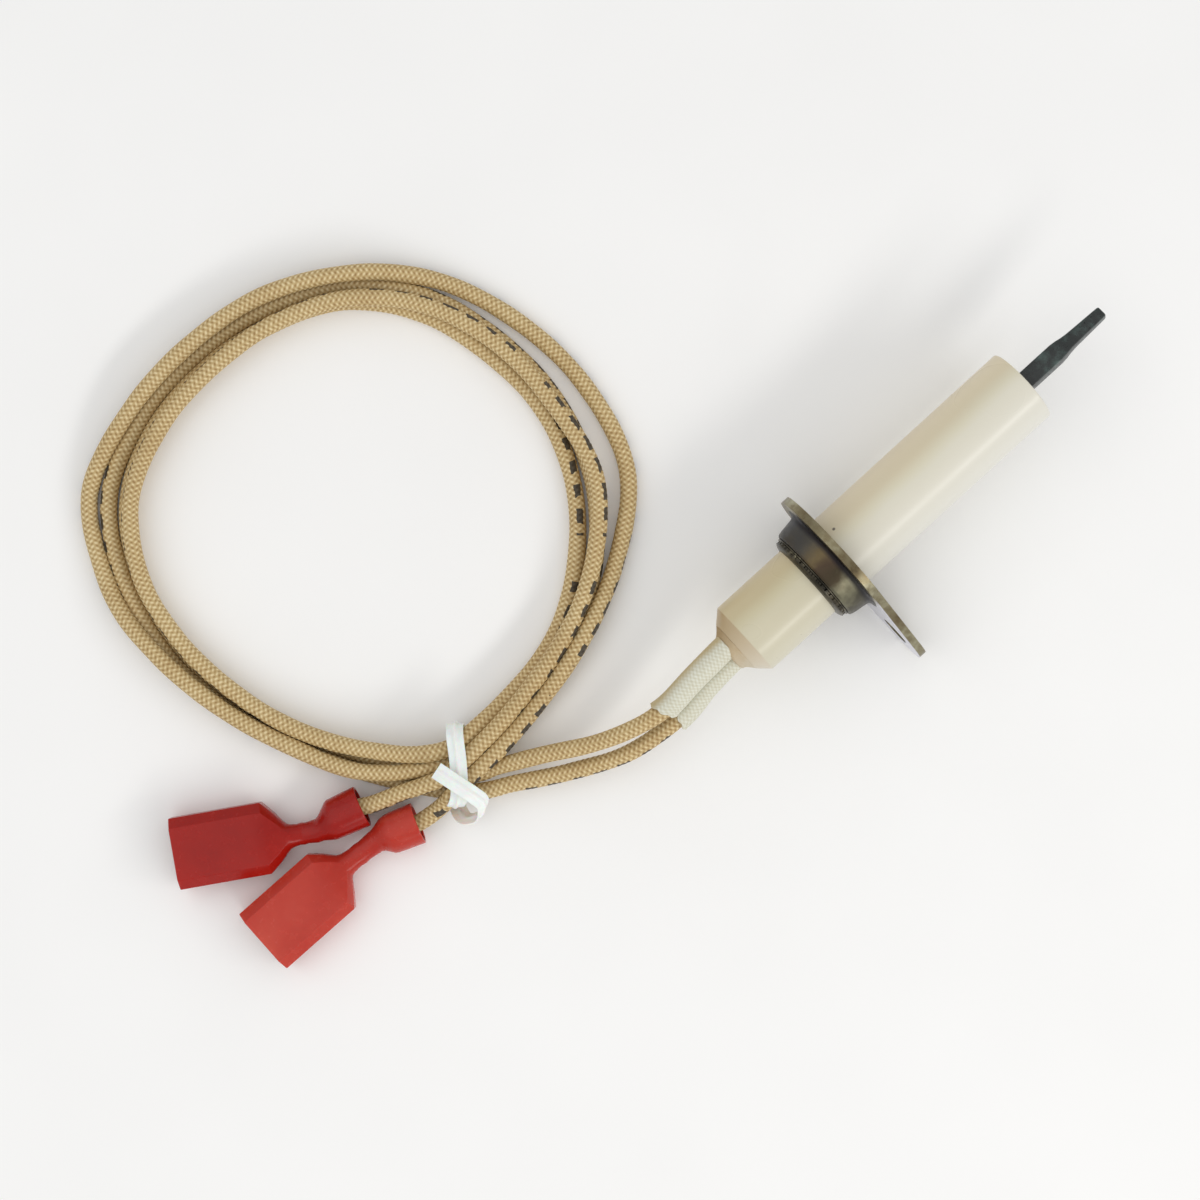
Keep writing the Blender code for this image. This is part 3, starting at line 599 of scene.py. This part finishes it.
def make_sleeves(lines):
    """Glass-fibre sleeves that follow the first stretch of each lead, with cut, slightly open ends."""
    cream = sleeve_braid()
    made = []
    count, step = 66, 0.12
    angles = np.linspace(0.0, 2.0 * np.pi, count, endpoint=False)
    cuts = ((SLEEVE_END_A, -0.35), (SLEEVE_END_B, 0.3))
    for letter, line, (end, slant) in zip("ab", lines, cuts):
        first, last = (int(np.argmax(line[:, 0] < x)) for x in (SLEEVE_START, end))
        path = spaced(line[first:last, :3], step)
        tangent, left, top = frames(path)
        rings, along = [], []
        for inside in (False, True):
            order = range(len(path)) if not inside else range(len(path) - 1, -1, -1)
            for i in order:
                near_end = max(0.0, (i / (len(path) - 1) - 0.82) / 0.18)
                crown = braid_crown(angles * SLEEVE_COLUMNS, 2.0 * math.pi / SLEEVE_PITCH * i * step)
                ripple = 0.03 * np.sin(angles * 2.0 + i * 0.03) + 0.02 * np.sin(angles * 3.0 - i * 0.05)
                radius = SLEEVE_R + 0.1 * near_end**2 + ripple
                radius = radius - SLEEVE_WALL if inside else radius + 0.025 * (crown - 0.6)
                fray = near_end * (slant * np.sin(angles) * 2.0 + 0.12 * np.sin(angles * 7.0 + 1.0))
                across = np.cos(angles)[:, None] * top[i] + np.sin(angles)[:, None] * left[i]
                rings.append(path[i] + radius[:, None] * across + fray[:, None] * tangent[i])
                along.append(i * step)
        obj = loop_piece(f"sleeve_{letter}", rings, 60.0)
        layer = obj.data.uv_layers.new(name="UVMap")
        for polygon in obj.data.polygons:
            columns = [v % count for v in polygon.vertices]
            wrap = count if max(columns) - min(columns) > count / 2 else 0
            for loop, v, c in zip(polygon.loop_indices, polygon.vertices, columns):
                around = c + wrap if c == 0 else c
                layer.data[loop].uv = (around / count, along[v // count])
        cream.on(obj)
        made.append(ride_on(obj, f"lead_sleeve_{letter}", slot="glass_fibre"))
    return made


def make_ceramic():
    """Alumina tube: rounded front edge, coned rear end, and a bore that steps down near the front."""
    edge, front_bore, rear_bore, step_at = 0.3, 3.0, 3.72, 17.0
    rounded = arc(edge, 0.0, 90.0, 6, (CERAMIC_FRONT - edge, CERAMIC_R - edge))
    outer = [(front_bore, CERAMIC_FRONT), *((r, x) for x, r in rounded)]
    outer += [(CERAMIC_R, x) for x in np.linspace(CERAMIC_FRONT - 1.0, CERAMIC_REAR + 0.06, 12)]
    outer += [(CERAMIC_R - 0.04, CERAMIC_REAR - 0.02), (CERAMIC_R - 0.75, CERAMIC_REAR - 0.78)]
    outer += [(CERAMIC_R - 1.5, CERAMIC_REAR - 1.6), (rear_bore, CERAMIC_REAR - 1.62)]
    outer += [(rear_bore, step_at), (front_bore, step_at)]
    obj = loop_piece("ceramic_tube", [turned_ring(r, x, 128) for r, x in outer], 30.0)
    m = Shade("alumina", Roughness=0.3, Specular_IOR_Level=0.5)
    split = m.node("ShaderNodeSeparateXYZ")
    m.link(m.coords(), split.inputs["Vector"])
    cloud = m.noise(60.0, 2.0, 0.5)
    drift = m.math("MULTIPLY", m.math("SUBTRACT", cloud, 0.5), 0.0022)
    drifted = m.math("ADD", split.outputs["Y"], drift)
    side = m.band(drifted, (AXIS_Y - CERAMIC_R) * MM, (AXIS_Y + CERAMIC_R) * MM)
    # Painted shade: cream on the -Y side, which faces the key light, going tan towards the +Y side,
    # which is turned away from it.
    stops = (
        (0.05, (0.72, 0.705, 0.635)),
        (0.45, (0.72, 0.69, 0.585)),
        (0.55, (0.71, 0.68, 0.565)),
        (0.66, (0.70, 0.655, 0.50)),
        (0.78, (0.70, 0.62, 0.445)),
        (1.0, (0.69, 0.60, 0.43)),
    )
    body = m.ramp(side, *stops)
    behind = m.band(split.outputs["X"], (FACE_X + 1.0) * MM, (FACE_X - 3.0) * MM)
    body = m.mix(behind, body, m.mix(1.0, body, (0.86, 0.83, 0.72), "MULTIPLY"))
    cone_at = FACE_X + CERAMIC_REAR
    rear = m.band(split.outputs["X"], (cone_at + 0.02) * MM, (cone_at - 0.05) * MM)
    # Painted shade: the rear cone likewise goes darker tan towards the +Y side, away from the key light.
    tans = ((0.1, (0.62, 0.55, 0.43)), (0.5, (0.54, 0.43, 0.28)), (0.9, (0.44, 0.32, 0.17)))
    cone = m.ramp(side, *tans)
    body = m.mix(m.math("MULTIPLY", rear, 0.9), body, cone)
    dots = m.math("LESS_THAN", m.voronoi(210.0), 0.045)
    rare = m.math("GREATER_THAN", m.noise(160.0, 1.0), 0.6)
    body = m.mix(m.math("MULTIPLY", m.math("MULTIPLY", dots, rare), 0.6), body, (0.25, 0.19, 0.13))
    spot = m.node("ShaderNodeVectorMath", operation="DISTANCE")
    m.link(m.coords(), spot.inputs[0])
    spot.inputs[1].default_value = Vector(FLECK) * MM
    fleck = m.band(spot.outputs["Value"], 0.14 * MM, 0.26 * MM, 0.85, 0.0)
    m.set("Base Color", m.mix(fleck, body, (0.05, 0.04, 0.035)))
    m.set("Roughness", m.band(cloud, 0.3, 0.7, 0.26, 0.36))
    m.bump(m.noise(1500.0, 3.0), 0.01, 0.25)
    m.on(obj)
    return ride_on(obj, "ceramic_body", slot="alumina")


def bar_section(along, half_w, half_h, edge, turn):
    """The heater bar's section with rounded long edges, turned about the tube's axis."""
    outline = []
    for cx, cy, start in ((1, 1, 0), (-1, 1, 90), (-1, -1, 180), (1, -1, 270)):
        outline += arc(edge, start, 90.0, 5, (cx * (half_w - edge), cy * (half_h - edge)))
    c, s = math.cos(turn), math.sin(turn)
    return [axis_point(along, c * x - s * y, s * x + c * y) for x, y in outline]


def make_heater():
    """Nitride bar, turned a little about its length, that narrows to the hot tip."""
    stations = (
        (10.5, 1.25, 1.2, 0.16),
        (32.0, 1.25, 1.2, 0.16),
        (36.8, 1.25, 1.2, 0.16),
        (38.6, 1.24, 1.2, 0.16),
        (39.4, 1.16, 1.16, 0.16),
        (40.2, 1.02, 1.08, 0.15),
        (41.0, 0.94, 1.0, 0.15),
        (42.0, 0.9, 0.96, 0.15),
        (46.0, 0.78, 0.84, 0.15),
        (46.45, 0.76, 0.82, 0.15),
        (46.64, 0.7, 0.76, 0.15),
        (46.7, 0.58, 0.64, 0.14),
    )
    rings = [bar_section(*station, HEATER_TURN) for station in stations]
    obj = loft_piece("heater_bar", rings, 35.0)
    m = Shade("silicon_nitride", Roughness=0.35, Specular_IOR_Level=0.5)
    cloud = m.noise(420.0, 5.0, 0.65)
    fine_grain = m.noise(2600.0, 3.0, 0.7)
    stops = (
        (0.3, (0.006, 0.008, 0.008)),
        (0.48, (0.014, 0.019, 0.018)),
        (0.6, (0.035, 0.055, 0.05)),
        (0.75, (0.08, 0.12, 0.11)),
    )
    m.set("Base Color", m.ramp(cloud, *stops))
    m.set("Roughness", m.band(fine_grain, 0.3, 0.7, 0.22, 0.45))
    m.bump(fine_grain, 0.02, 0.5)
    m.on(obj)
    return ride_on(obj, "heater_element", slot="nitride")


def make_cement():
    """Potting that carries on the tube's rear cone and closes round the sleeves."""
    profile = (
        (3.6, -13.5, 0.0),
        (3.6, -18.0, 0.0),
        (3.72, -18.16, 0.0),
        (3.74, -18.26, 0.1),
        (3.42, -18.55, 0.3),
        (3.1, -18.85, 0.6),
        (2.86, -19.15, 0.9),
        (2.68, -19.42, 1.0),
        (2.45, -19.6, 1.0),
        (1.7, -19.72, 0.8),
        (0.5, -19.78, 0.5),
    )
    steps, sleeves_lie = 96, math.radians(56.0)
    rings = []
    for radius, along, rough in profile:
        ring = []
        for k in range(steps):
            a = 2.0 * math.pi * k / steps
            waves = 0.02 * math.sin(5 * a + along * 3.0) + 0.012 * math.sin(13 * a - 5.3 * along)
            oval = 1.0 + 0.13 * rough * math.cos(2.0 * (a - sleeves_lie))
            r = radius * (1.0 + rough * waves) * oval
            ring.append(axis_point(along, r * math.cos(a), r * math.sin(a)))
        rings.append(ring)
    obj = loft_piece("potting", rings, 60.0)
    m = Shade("potting_cement", Roughness=0.85)
    split = m.node("ShaderNodeSeparateXYZ")
    m.link(m.coords(), split.inputs["Vector"])
    grain = m.noise(1600.0, 5.0, 0.7)
    side = m.math("ADD", split.outputs["Y"], m.math("MULTIPLY", m.math("SUBTRACT", grain, 0.5), 0.004))
    side = m.band(side, (AXIS_Y - 3.8) * MM, (AXIS_Y + 3.8) * MM)
    # Partly painted shade: the cement's own pale tan on the -Y side darkens to brown towards the +Y
    # side, away from the key light.
    stops = ((0.0, (0.62, 0.56, 0.44)), (0.45, (0.52, 0.41, 0.26)), (1.0, (0.36, 0.25, 0.12)))
    m.set("Base Color", m.ramp(side, *stops))
    m.bump(grain, 0.06, 0.7)
    m.on(obj)
    return ride_on(obj, "rear_cement", slot="cement")


def ear_centre():
    dip = math.radians(EAR_DIP)
    return -EAR_DISTANCE * math.cos(dip), -EAR_DISTANCE * math.sin(dip)


def flange_outline():
    side = math.degrees(math.acos((PLATE_R - EAR_R) / EAR_DISTANCE))
    towards = 180.0 + EAR_DIP
    plate = arc(PLATE_R, towards + side, 360.0 - 2.0 * side, 90)
    ear = arc(EAR_R, towards - side, 2.0 * side, 36, ear_centre())
    return plate + ear


def flat_piece(name, outlines, thickness, along):
    """A flat body across the tube's axis, from outlines in (across, up)."""
    data = bpy.data.curves.new(name, "CURVE")
    data.dimensions = "2D"
    data.fill_mode = "BOTH"
    data.extrude = thickness * MM / 2
    for outline in outlines:
        spline = data.splines.new("POLY")
        spline.points.add(len(outline) - 1)
        for made, (x, y) in zip(spline.points, outline):
            made.co = (x * MM, y * MM, 0.0, 1.0)
        spline.use_cyclic_u = True
    curve = bpy.data.objects.new(name, data)
    bpy.context.scene.collection.objects.link(curve)
    graph = bpy.context.evaluated_depsgraph_get()
    mesh = bpy.data.meshes.new_from_object(curve.evaluated_get(graph), depsgraph=graph)
    bpy.data.objects.remove(curve, do_unlink=True)
    made = bmesh.new()
    made.from_mesh(mesh)
    bmesh.ops.remove_doubles(made, verts=made.verts, dist=1e-7)
    bmesh.ops.dissolve_limit(made, angle_limit=0.01, verts=made.verts, edges=made.edges)
    place = Matrix.Translation(Vector(axis_point(along, 0.0, 0.0)) * MM)
    turn = Matrix(((0, 0, 1, 0), (1, 0, 0, 0), (0, 1, 0, 0), (0, 0, 0, 1)))
    made.transform(place @ turn)
    bmesh.ops.recalc_face_normals(made, faces=made.faces)
    made.to_mesh(mesh)
    made.free()
    obj = bpy.data.objects.new(name, mesh)
    bpy.context.scene.collection.objects.link(obj)
    mesh.shade_smooth()
    mesh.set_sharp_from_angle(angle=math.radians(30.0))
    return obj


def steel_shade(name, rough=0.36):
    """(material, coordinates apart, broad noise, fine noise) for plated steel that has been hot."""
    m = Shade(name, Metallic=0.9)
    split = m.node("ShaderNodeSeparateXYZ")
    m.link(m.coords(), split.inputs["Vector"])
    broad = m.noise(170.0, 4.0, 0.6)
    small = m.noise(900.0, 4.0, 0.65)
    m.set("Roughness", m.band(small, 0.3, 0.7, rough * 0.8, rough * 1.25))
    m.bump(small, 0.02, 0.5)
    return m, split, broad, small


def plate_steel():
    """Olive plating with brown stains, left silvery on the back of the ear."""
    m, split, broad, small = steel_shade("plate_steel", 0.33)
    tone = m.math("ADD", m.math("MULTIPLY", broad, 0.7), m.math("MULTIPLY", small, 0.3))
    stops = (
        (0.34, (0.08, 0.058, 0.032)),
        (0.44, (0.16, 0.125, 0.068)),
        (0.54, (0.22, 0.19, 0.115)),
        (0.68, (0.42, 0.4, 0.28)),
    )
    olive = m.ramp(tone, *stops)
    back = m.band(split.outputs["X"], (FACE_X - PLATE_T + 0.12) * MM, (FACE_X - PLATE_T + 0.02) * MM)
    ear = m.band(split.outputs["Y"], (AXIS_Y - 8.4) * MM, (AXIS_Y - 7.2) * MM, 1.0, 0.0)
    silver = m.ramp(small, (0.3, (0.62, 0.62, 0.7)), (0.7, (0.78, 0.78, 0.82)))
    m.set("Base Color", m.mix(m.math("MULTIPLY", back, ear), olive, silver))
    return m


def collar_steel():
    """Heat colours round the collar: slate, brown, violet and straw; nearly black by the plate, partly
    tint, partly painted shadow.
    """
    m, split, broad, small = steel_shade("collar_steel", 0.4)
    drift = m.math("MULTIPLY", m.math("SUBTRACT", broad, 0.5), 0.009)
    side = m.band(m.math("ADD", split.outputs["Y"], drift), (AXIS_Y - 7.6) * MM, (AXIS_Y + 7.6) * MM)
    stops = (
        (0.0, (0.07, 0.066, 0.05)),
        (0.14, (0.09, 0.083, 0.06)),
        (0.24, (0.19, 0.18, 0.12)),
        (0.36, (0.07, 0.055, 0.034)),
        (0.5, (0.078, 0.054, 0.036)),
        (0.64, (0.14, 0.105, 0.055)),
        (0.8, (0.085, 0.078, 0.065)),
        (1.0, (0.07, 0.07, 0.073)),
    )
    heat = m.ramp(side, *stops)
    # Painted shadow and tint: the fillet next to the plate goes nearly black, partly a dark tint and
    # partly the plate's shadow painted in.
    shadow_and_tint_by_plate = m.band(split.outputs["X"], (FACE_X - 2.1) * MM, (FACE_X - 1.5) * MM, 0.0, 0.85)
    m.set("Base Color", m.mix(shadow_and_tint_by_plate, heat, (0.018, 0.017, 0.023)))
    return m


def make_flange():
    """Plate with its screw ear, the collar drawn from it, and the ring behind."""
    hole = arc(FLANGE_HOLE_R, 0.0, 360.0, 96)
    screw_hole = arc(SCREW_HOLE_R, 0.0, 360.0, 48, ear_centre())
    plate = flat_piece("flange_plate", [flange_outline(), hole, screw_hole], PLATE_T, -PLATE_T / 2)
    bevel(plate, 0.14, 3, 40.0)
    plate_steel().on(plate)
    ride_on(plate, "mounting_flange", slot="steel")
    bore = FLANGE_HOLE_R + 0.02
    profile = [(bore, -0.7), (8.6, -0.9), (8.6, -PLATE_T)]
    for t in np.linspace(0.0, 1.0, 9):
        a = math.radians(90.0 * t)
        profile.append((7.4 + 1.0 * (1.0 - math.sin(a)), -PLATE_T - 0.75 * (1.0 - math.cos(a))))
    profile += [(7.3, -2.4), (7.18, -3.4), (7.05, -4.0), (6.95, -4.25), (6.75, -4.4), (bore, -4.4)]
    collar = loop_piece("flange_collar", [turned_ring(r, x, 128) for r, x in profile], 35.0)
    collar_steel().on(collar)
    ride_on(collar, "mounting_flange", slot="steel")
    return plate, collar, make_ring()


def make_ring():
    """Push-on ring: two thin rims joined by a row of fine ribs. A row is radius, place and cut."""
    profile = (
        (CERAMIC_R + 0.04, -4.46, 0.0),
        (6.5, -4.46, 0.0),
        (6.6, -4.5, 0.0),
        (6.6, -4.64, 0.0),
        (6.48, -4.7, 0.0),
        (6.4, -4.73, 1.0),
        (6.38, -4.98, 1.0),
        (6.4, -5.04, 0.0),
        (6.42, -5.18, 0.0),
        (6.3, -5.28, 0.0),
        (5.9, -5.44, 0.0),
        (CERAMIC_R + 0.06, -5.55, 0.0),
    )
    ribs, each = 44, 8
    rings = []
    for radius, along, cut in profile:
        ring = []
        for k in range(ribs * each):
            a = 2.0 * math.pi * k / (ribs * each)
            uneven = 0.05 * math.sin(7.0 * a) + 0.03 * math.sin(17.0 * a + 1.0)
            r = radius - cut * (k % each < each / 2) * (0.2 + uneven)
            r += 0.3 * uneven if radius > 6.0 else 0.0
            ring.append(axis_point(along, r * math.cos(a), r * math.sin(a)))
        rings.append(ring)
    obj = loop_piece("serrated_ring", rings, 30.0)
    m, _, broad, small = steel_shade("ring_steel", 0.3)
    # Painted glints: the palest stop puts near-white spots in random places on the dark steel, standing
    # in for light caught by the ribs.
    stops = (
        (0.4, (0.03, 0.028, 0.022)),
        (0.55, (0.08, 0.07, 0.05)),
        (0.62, (0.2, 0.18, 0.12)),
        (0.68, (0.8, 0.78, 0.68)),
    )
    tone = m.math("ADD", m.math("MULTIPLY", broad, 0.5), m.math("MULTIPLY", small, 0.5))
    m.set("Base Color", m.ramp(tone, *stops))
    m.on(obj)
    return ride_on(obj, "retaining_ring", slot="steel")


def box_outline(w, h, bevel_w, bevel_h, per_edge=4):
    """A bevelled rectangle of half width w and half height h."""
    corners = (
        (w, -(h - bevel_h)),
        (w, h - bevel_h),
        (w - bevel_w, h),
        (-(w - bevel_w), h),
        (-w, h - bevel_h),
        (-w, -(h - bevel_h)),
        (-(w - bevel_w), -h),
        (w - bevel_w, -h),
    )
    outline = []
    for i, here in enumerate(corners):
        after = corners[(i + 1) % 8]
        for k in range(per_edge):
            t = k / per_edge
            outline.append((here[0] + (after[0] - here[0]) * t, here[1] + (after[1] - here[1]) * t))
    return np.array(outline)


def oval_outline(half_w, half_h, count=32):
    """An oval whose points match the bevelled rectangle's."""
    angles = np.radians(360.0 * (np.arange(count) - count / 16.0) / count)
    return np.stack([half_w * np.cos(angles), half_h * np.sin(angles)], axis=1)


def stood_across(centre, way, outline):
    """An outline stood upright across a level direction."""
    along = np.array([way[0], way[1], 0.0])
    along /= np.linalg.norm(along)
    left = np.array([-along[1], along[0], 0.0])
    return [tuple(np.asarray(centre) + left * a + np.array([0.0, 0.0, b])) for a, b in outline]


def terminal_sections(places, inside):
    """(centre, direction, outline) of every section from the mouth to the bell's end."""
    p = np.array(places)
    box_way = (p[1] - p[0]) / np.linalg.norm(p[1] - p[0])
    neck_way = (p[3] - p[2]) / np.linalg.norm(p[3] - p[2])
    bell_way = (p[5] - p[4]) / np.linalg.norm(p[5] - p[4])
    cut = BOX_WALL if inside else 0.0
    trim = 0.2 if inside else 0.0
    rim = 0.12 if inside else -0.08
    half_w, half_h = BOX_HALF_W - cut, BOX_HALF_H - cut
    bevels = (BOX_BEVEL_W - trim, BOX_BEVEL_H - trim)
    block = box_outline(half_w, half_h, *bevels)
    mouth = box_outline(half_w + rim, half_h + rim, *bevels)
    wall = 0.35 if inside else 0.0
    neck = oval_outline(1.55 - wall, 1.4 - wall)
    waist = oval_outline(1.42 - wall, 1.25 - wall)
    made = [(p[0], box_way, mouth), (p[0] + 0.1 * box_way, box_way, block)]
    made += [(p[0] + (p[1] - p[0]) * t, box_way, block) for t in (0.33, 0.66, 1.0)]
    for t in (0.5, 0.82, 1.0):
        outline = block * (1.0 - t) + oval_outline(1.75 - wall, 1.6 - wall) * t
        if t == 0.5:
            outline = outline * np.array([1.04, 1.02])
        made.append((p[1] + (p[2] - p[1]) * t, box_way * (1 - t) + neck_way * t, outline))
    made.append((p[2] + neck_way * 0.5, neck_way, neck))
    made.append((p[2] + (p[3] - p[2]) * 0.35, neck_way, waist))
    made.append((p[2] + (p[3] - p[2]) * 0.5, neck_way, oval_outline(1.5 - wall, 1.1 - wall)))
    made.append((p[2] + (p[3] - p[2]) * 0.65, neck_way, waist))
    made.append((p[3] - neck_way * 0.4, neck_way, neck))
    start, stop = p[3], p[4]
    for t in (0.0, 0.2, 0.4, 0.6, 0.8, 1.0):
        grow = t * t * (3.0 - 2.0 * t)
        radius = 1.58 + (2.72 - 1.58) * grow
        thick = wall + (0.4 - wall) * grow if inside else 0.0
        outline = oval_outline(radius - thick, radius - thick)
        made.append((start + (stop - start) * t, neck_way * (1 - t) + bell_way * t, outline))
    bell_wall = 0.4 if inside else 0.0
    lip = 0.1 if inside else -0.06
    for t in (0.3, 0.6, 0.97, 1.0):
        radius = 2.75 + 0.1 * t - bell_wall + (lip if t == 1.0 else 0.0)
        made.append((p[4] + (p[5] - p[4]) * t, bell_way, oval_outline(radius, radius)))
    return made


def red_nylon(name, deep, middle, pale):
    """Translucent red moulding: cloudy depth in random patches, and a soft polish."""
    m = Shade(name, Roughness=0.25, Specular_IOR_Level=0.28)
    m.shader.inputs["Subsurface Weight"].default_value = 0.2
    m.shader.inputs["Subsurface Scale"].default_value = 0.0012
    m.shader.inputs["Subsurface Radius"].default_value = (1.0, 0.1, 0.06)
    cloud = m.noise(70.0, 2.0, 0.45)
    grain = m.noise(900.0, 3.0, 0.5)
    tone = m.math("ADD", m.math("MULTIPLY", cloud, 0.85), m.math("MULTIPLY", grain, 0.15))
    m.set("Base Color", m.ramp(tone, (0.32, deep), (0.5, middle), (0.7, pale)))
    m.set("Roughness", m.band(grain, 0.3, 0.7, 0.18, 0.3))
    return m.bump(grain, 0.004, 0.25)


def make_housings():
    shades = (
        red_nylon("red_nylon_deep", (0.29, 0.007, 0.004), (0.36, 0.01, 0.005), (0.43, 0.018, 0.008)),
        red_nylon("red_nylon_pale", (0.41, 0.024, 0.014), (0.49, 0.042, 0.025), (0.57, 0.075, 0.046)),
    )
    made = []
    for letter, places, nylon in (("a", TERMINAL_A, shades[0]), ("b", TERMINAL_B, shades[1])):
        outer = [stood_across(*s) for s in terminal_sections(places, False)]
        inner = [stood_across(*s) for s in terminal_sections(places, True)]
        obj = loop_piece(f"housing_{letter}", outer + inner[::-1], 28.0)
        bevel(obj, 0.15, 3, 24.0).modifiers["edges"].harden_normals = True
        nylon.on(obj)
        made.append(ride_on(obj, f"terminal_housing_{letter}", slot="red_nylon"))
    return made


def make_tie():
    """White ribbon with a raised rib, crossed over itself; the wire inside it stays the CAD's own piece.
    """
    centre = np.array([*TIE_CENTRE, 0.0])
    axes = np.array([[*TIE_RIGHT, 0.0], [*TIE_DOWN, 0.0], [0.0, 0.0, 1.0]])
    smooth = hermite(TIE_PATH, np.linspace(0.0, len(TIE_PATH) - 1.0, 220))
    path = centre + smooth[:, :3] @ axes
    widths = smooth[:, 3:] @ axes
    tangent = np.gradient(path, axis=0)
    tangent /= np.linalg.norm(tangent, axis=1)[:, None]
    widths -= tangent * np.sum(widths * tangent, axis=1)[:, None]
    widths /= np.linalg.norm(widths, axis=1)[:, None]
    normal = np.cross(tangent, widths)
    half = [(1.15, 0.0), (1.12, 0.1), (0.9, 0.14), (0.55, 0.15), (0.34, 0.2), (0.18, 0.34), (0.0, 0.4)]
    upper = half + [(-a, b) for a, b in reversed(half[:-1])]
    outline = np.array(upper + [(a, -b) for a, b in reversed(upper[1:-1])])
    rings = []
    for i in range(len(path)):
        crinkle = 0.012 * np.sin(i * 0.9 + outline[:, 0] * 2.0) * np.abs(outline[:, 0])
        ring = path[i] + outline[:, :1] * widths[i] + (outline[:, 1] + crinkle)[:, None] * normal[i]
        rings.append([tuple(p) for p in ring])
    obj = loft_piece("ribbon_tie", rings, 50.0)
    m = Shade("tie_ribbon", Roughness=0.34, Subsurface_Weight=0.35, Subsurface_Scale=0.0015)
    cloud = m.noise(300.0, 4.0, 0.6)
    m.set("Base Color", m.ramp(cloud, (0.3, (0.84, 0.85, 0.82)), (0.7, (0.93, 0.94, 0.93))))
    m.bump(m.noise(900.0, 3.0), 0.03, 0.4)
    m.on(obj)
    return ride_on(obj, "twist_tie", slot="white_plastic")


def finish_carried_nodes():
    """Materials for the hidden pieces that keep their CAD shape."""
    nickel = metal_material("drawn_nickel", (0.62, 0.59, 0.54), 0.3)
    copper = metal_material("stranded_copper", (0.7, 0.36, 0.22), 0.35)
    brass = metal_material("tinned_brass", (0.74, 0.58, 0.3), 0.32)
    iron = metal_material("iron_wire", (0.4, 0.4, 0.4), 0.4)
    plug = Shade("front_plug", Roughness=0.9)
    grain = plug.noise(1200.0, 5.0, 0.7)
    plug.set("Base Color", plug.ramp(grain, (0.3, (0.5, 0.44, 0.34)), (0.7, (0.78, 0.73, 0.62))))
    plug.bump(grain, 0.1, 0.8)
    groups = {
        nickel: ("contact_a", "contact_b", "nickel_wire_a", "nickel_wire_b", "splice_a", "splice_b"),
        copper: ("conductor_a", "conductor_b", "terminal_conductor_a", "terminal_conductor_b"),
        brass: ("receptacle_a", "receptacle_b", "support_sleeve_a", "support_sleeve_b"),
        iron: ("tie_wire",),
        plug: ("front_cement",),
    }
    for material, names in groups.items():
        for name in names:
            material.on(cad_object(name))


def cad_object(name):
    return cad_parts[name]


# ---------------------------------------------------------------- camera, floor and light


def make_camera():
    """Looks straight down, with the tube's axis rising to the right."""
    data = bpy.data.cameras.new("camera")
    data.sensor_width = 36.0
    data.lens = 87.15
    data.clip_start = 0.01
    camera = bpy.data.objects.new("camera", data)
    bpy.context.scene.collection.objects.link(camera)
    camera.location = Vector((-35.0, 20.4, 390.0)) * MM
    camera.rotation_euler = (0.0, 0.0, math.radians(-42.4))
    bpy.context.scene.camera = camera
    return camera


def area_light(name, place, target, size, power, colour):
    data = bpy.data.lights.new(name, "AREA")
    data.shape = "RECTANGLE"
    data.size, data.size_y = size
    data.energy = power
    data.color = colour
    light = bpy.data.objects.new(name, data)
    bpy.context.scene.collection.objects.link(light)
    light.location = Vector(place) * MM
    way = Vector(target) * MM - light.location
    light.rotation_euler = way.to_track_quat("-Z", "Y").to_euler()
    return light


def make_floor_and_light():
    """Pale paper floor, a low narrow key, a broad fill from above, and an even white surround."""
    bpy.ops.mesh.primitive_plane_add(size=4.0, location=(0.0, 0.0, 0.0))
    floor = bpy.context.active_object
    floor.name = "floor"
    m = Shade("floor_paper", Roughness=0.9, Specular_IOR_Level=0.1)
    stops = ((0.3, (0.93, 0.93, 0.925)), (0.7, (0.95, 0.95, 0.945)))
    m.set("Base Color", m.ramp(m.noise(30.0, 2.0), *stops))
    m.on(floor)
    middle = Vector((-30.0, 20.0, 5.0))
    key = middle + 620.0 * Vector((0.12, -0.82, 0.56))
    fill = middle + 700.0 * Vector((-0.3, 0.35, 0.89))
    area_light("key", key, middle, (0.8, 0.09), 1.4, (1.0, 0.985, 0.96))
    area_light("fill", fill, middle, (0.9, 0.9), 1.25, (1.0, 0.99, 0.97))
    world = bpy.data.worlds.new("studio")
    bpy.context.scene.world = world
    world.use_nodes = True
    surround = world.node_tree.nodes["Background"]
    surround.inputs["Color"].default_value = (1.0, 1.0, 1.0, 1.0)
    surround.inputs["Strength"].default_value = 0.66
    bpy.context.scene.view_settings.view_transform = "Standard"


def declare_cords(leads, housings, tie, sleeves):
    """Gathers, for each lead running from the potting to its receptacle, its housing, sleeve and end
    pieces, and for lead a the tie and its wire; nothing is done with them.
    """
    for letter, (obj, path), housing, sleeve in zip("ab", leads, housings, sleeves):
        pieces = [housing, sleeve]
        for name in ("receptacle", "support_sleeve", "terminal_conductor"):
            pieces.append(cad_object(f"{name}_{letter}"))
        if letter == "a":
            pieces += [tie, cad_object("tie_wire")]


def build():
    make_camera()
    rough = [
        lead_line((RUN_A, MARKS_RUN_A), (LEAD_A_TURNS, LEAD_A_HEIGHTS, MARKS_A), (TAIL_A, MARKS_TAIL_A)),
        lead_line((RUN_B, MARKS_RUN_B), (LEAD_B_TURNS, LEAD_B_HEIGHTS, MARKS_B), (TAIL_B, MARKS_TAIL_B)),
    ]
    lines = [fine(line, 0.5, 4) for line in relax(rough)]
    leads = make_leads(lines)
    sleeves = make_sleeves(lines)
    make_ceramic()
    make_heater()
    make_cement()
    make_flange()
    housings = make_housings()
    tie = make_tie()
    finish_carried_nodes()
    make_floor_and_light()
    declare_cords(leads, housings, tie, sleeves)


build()
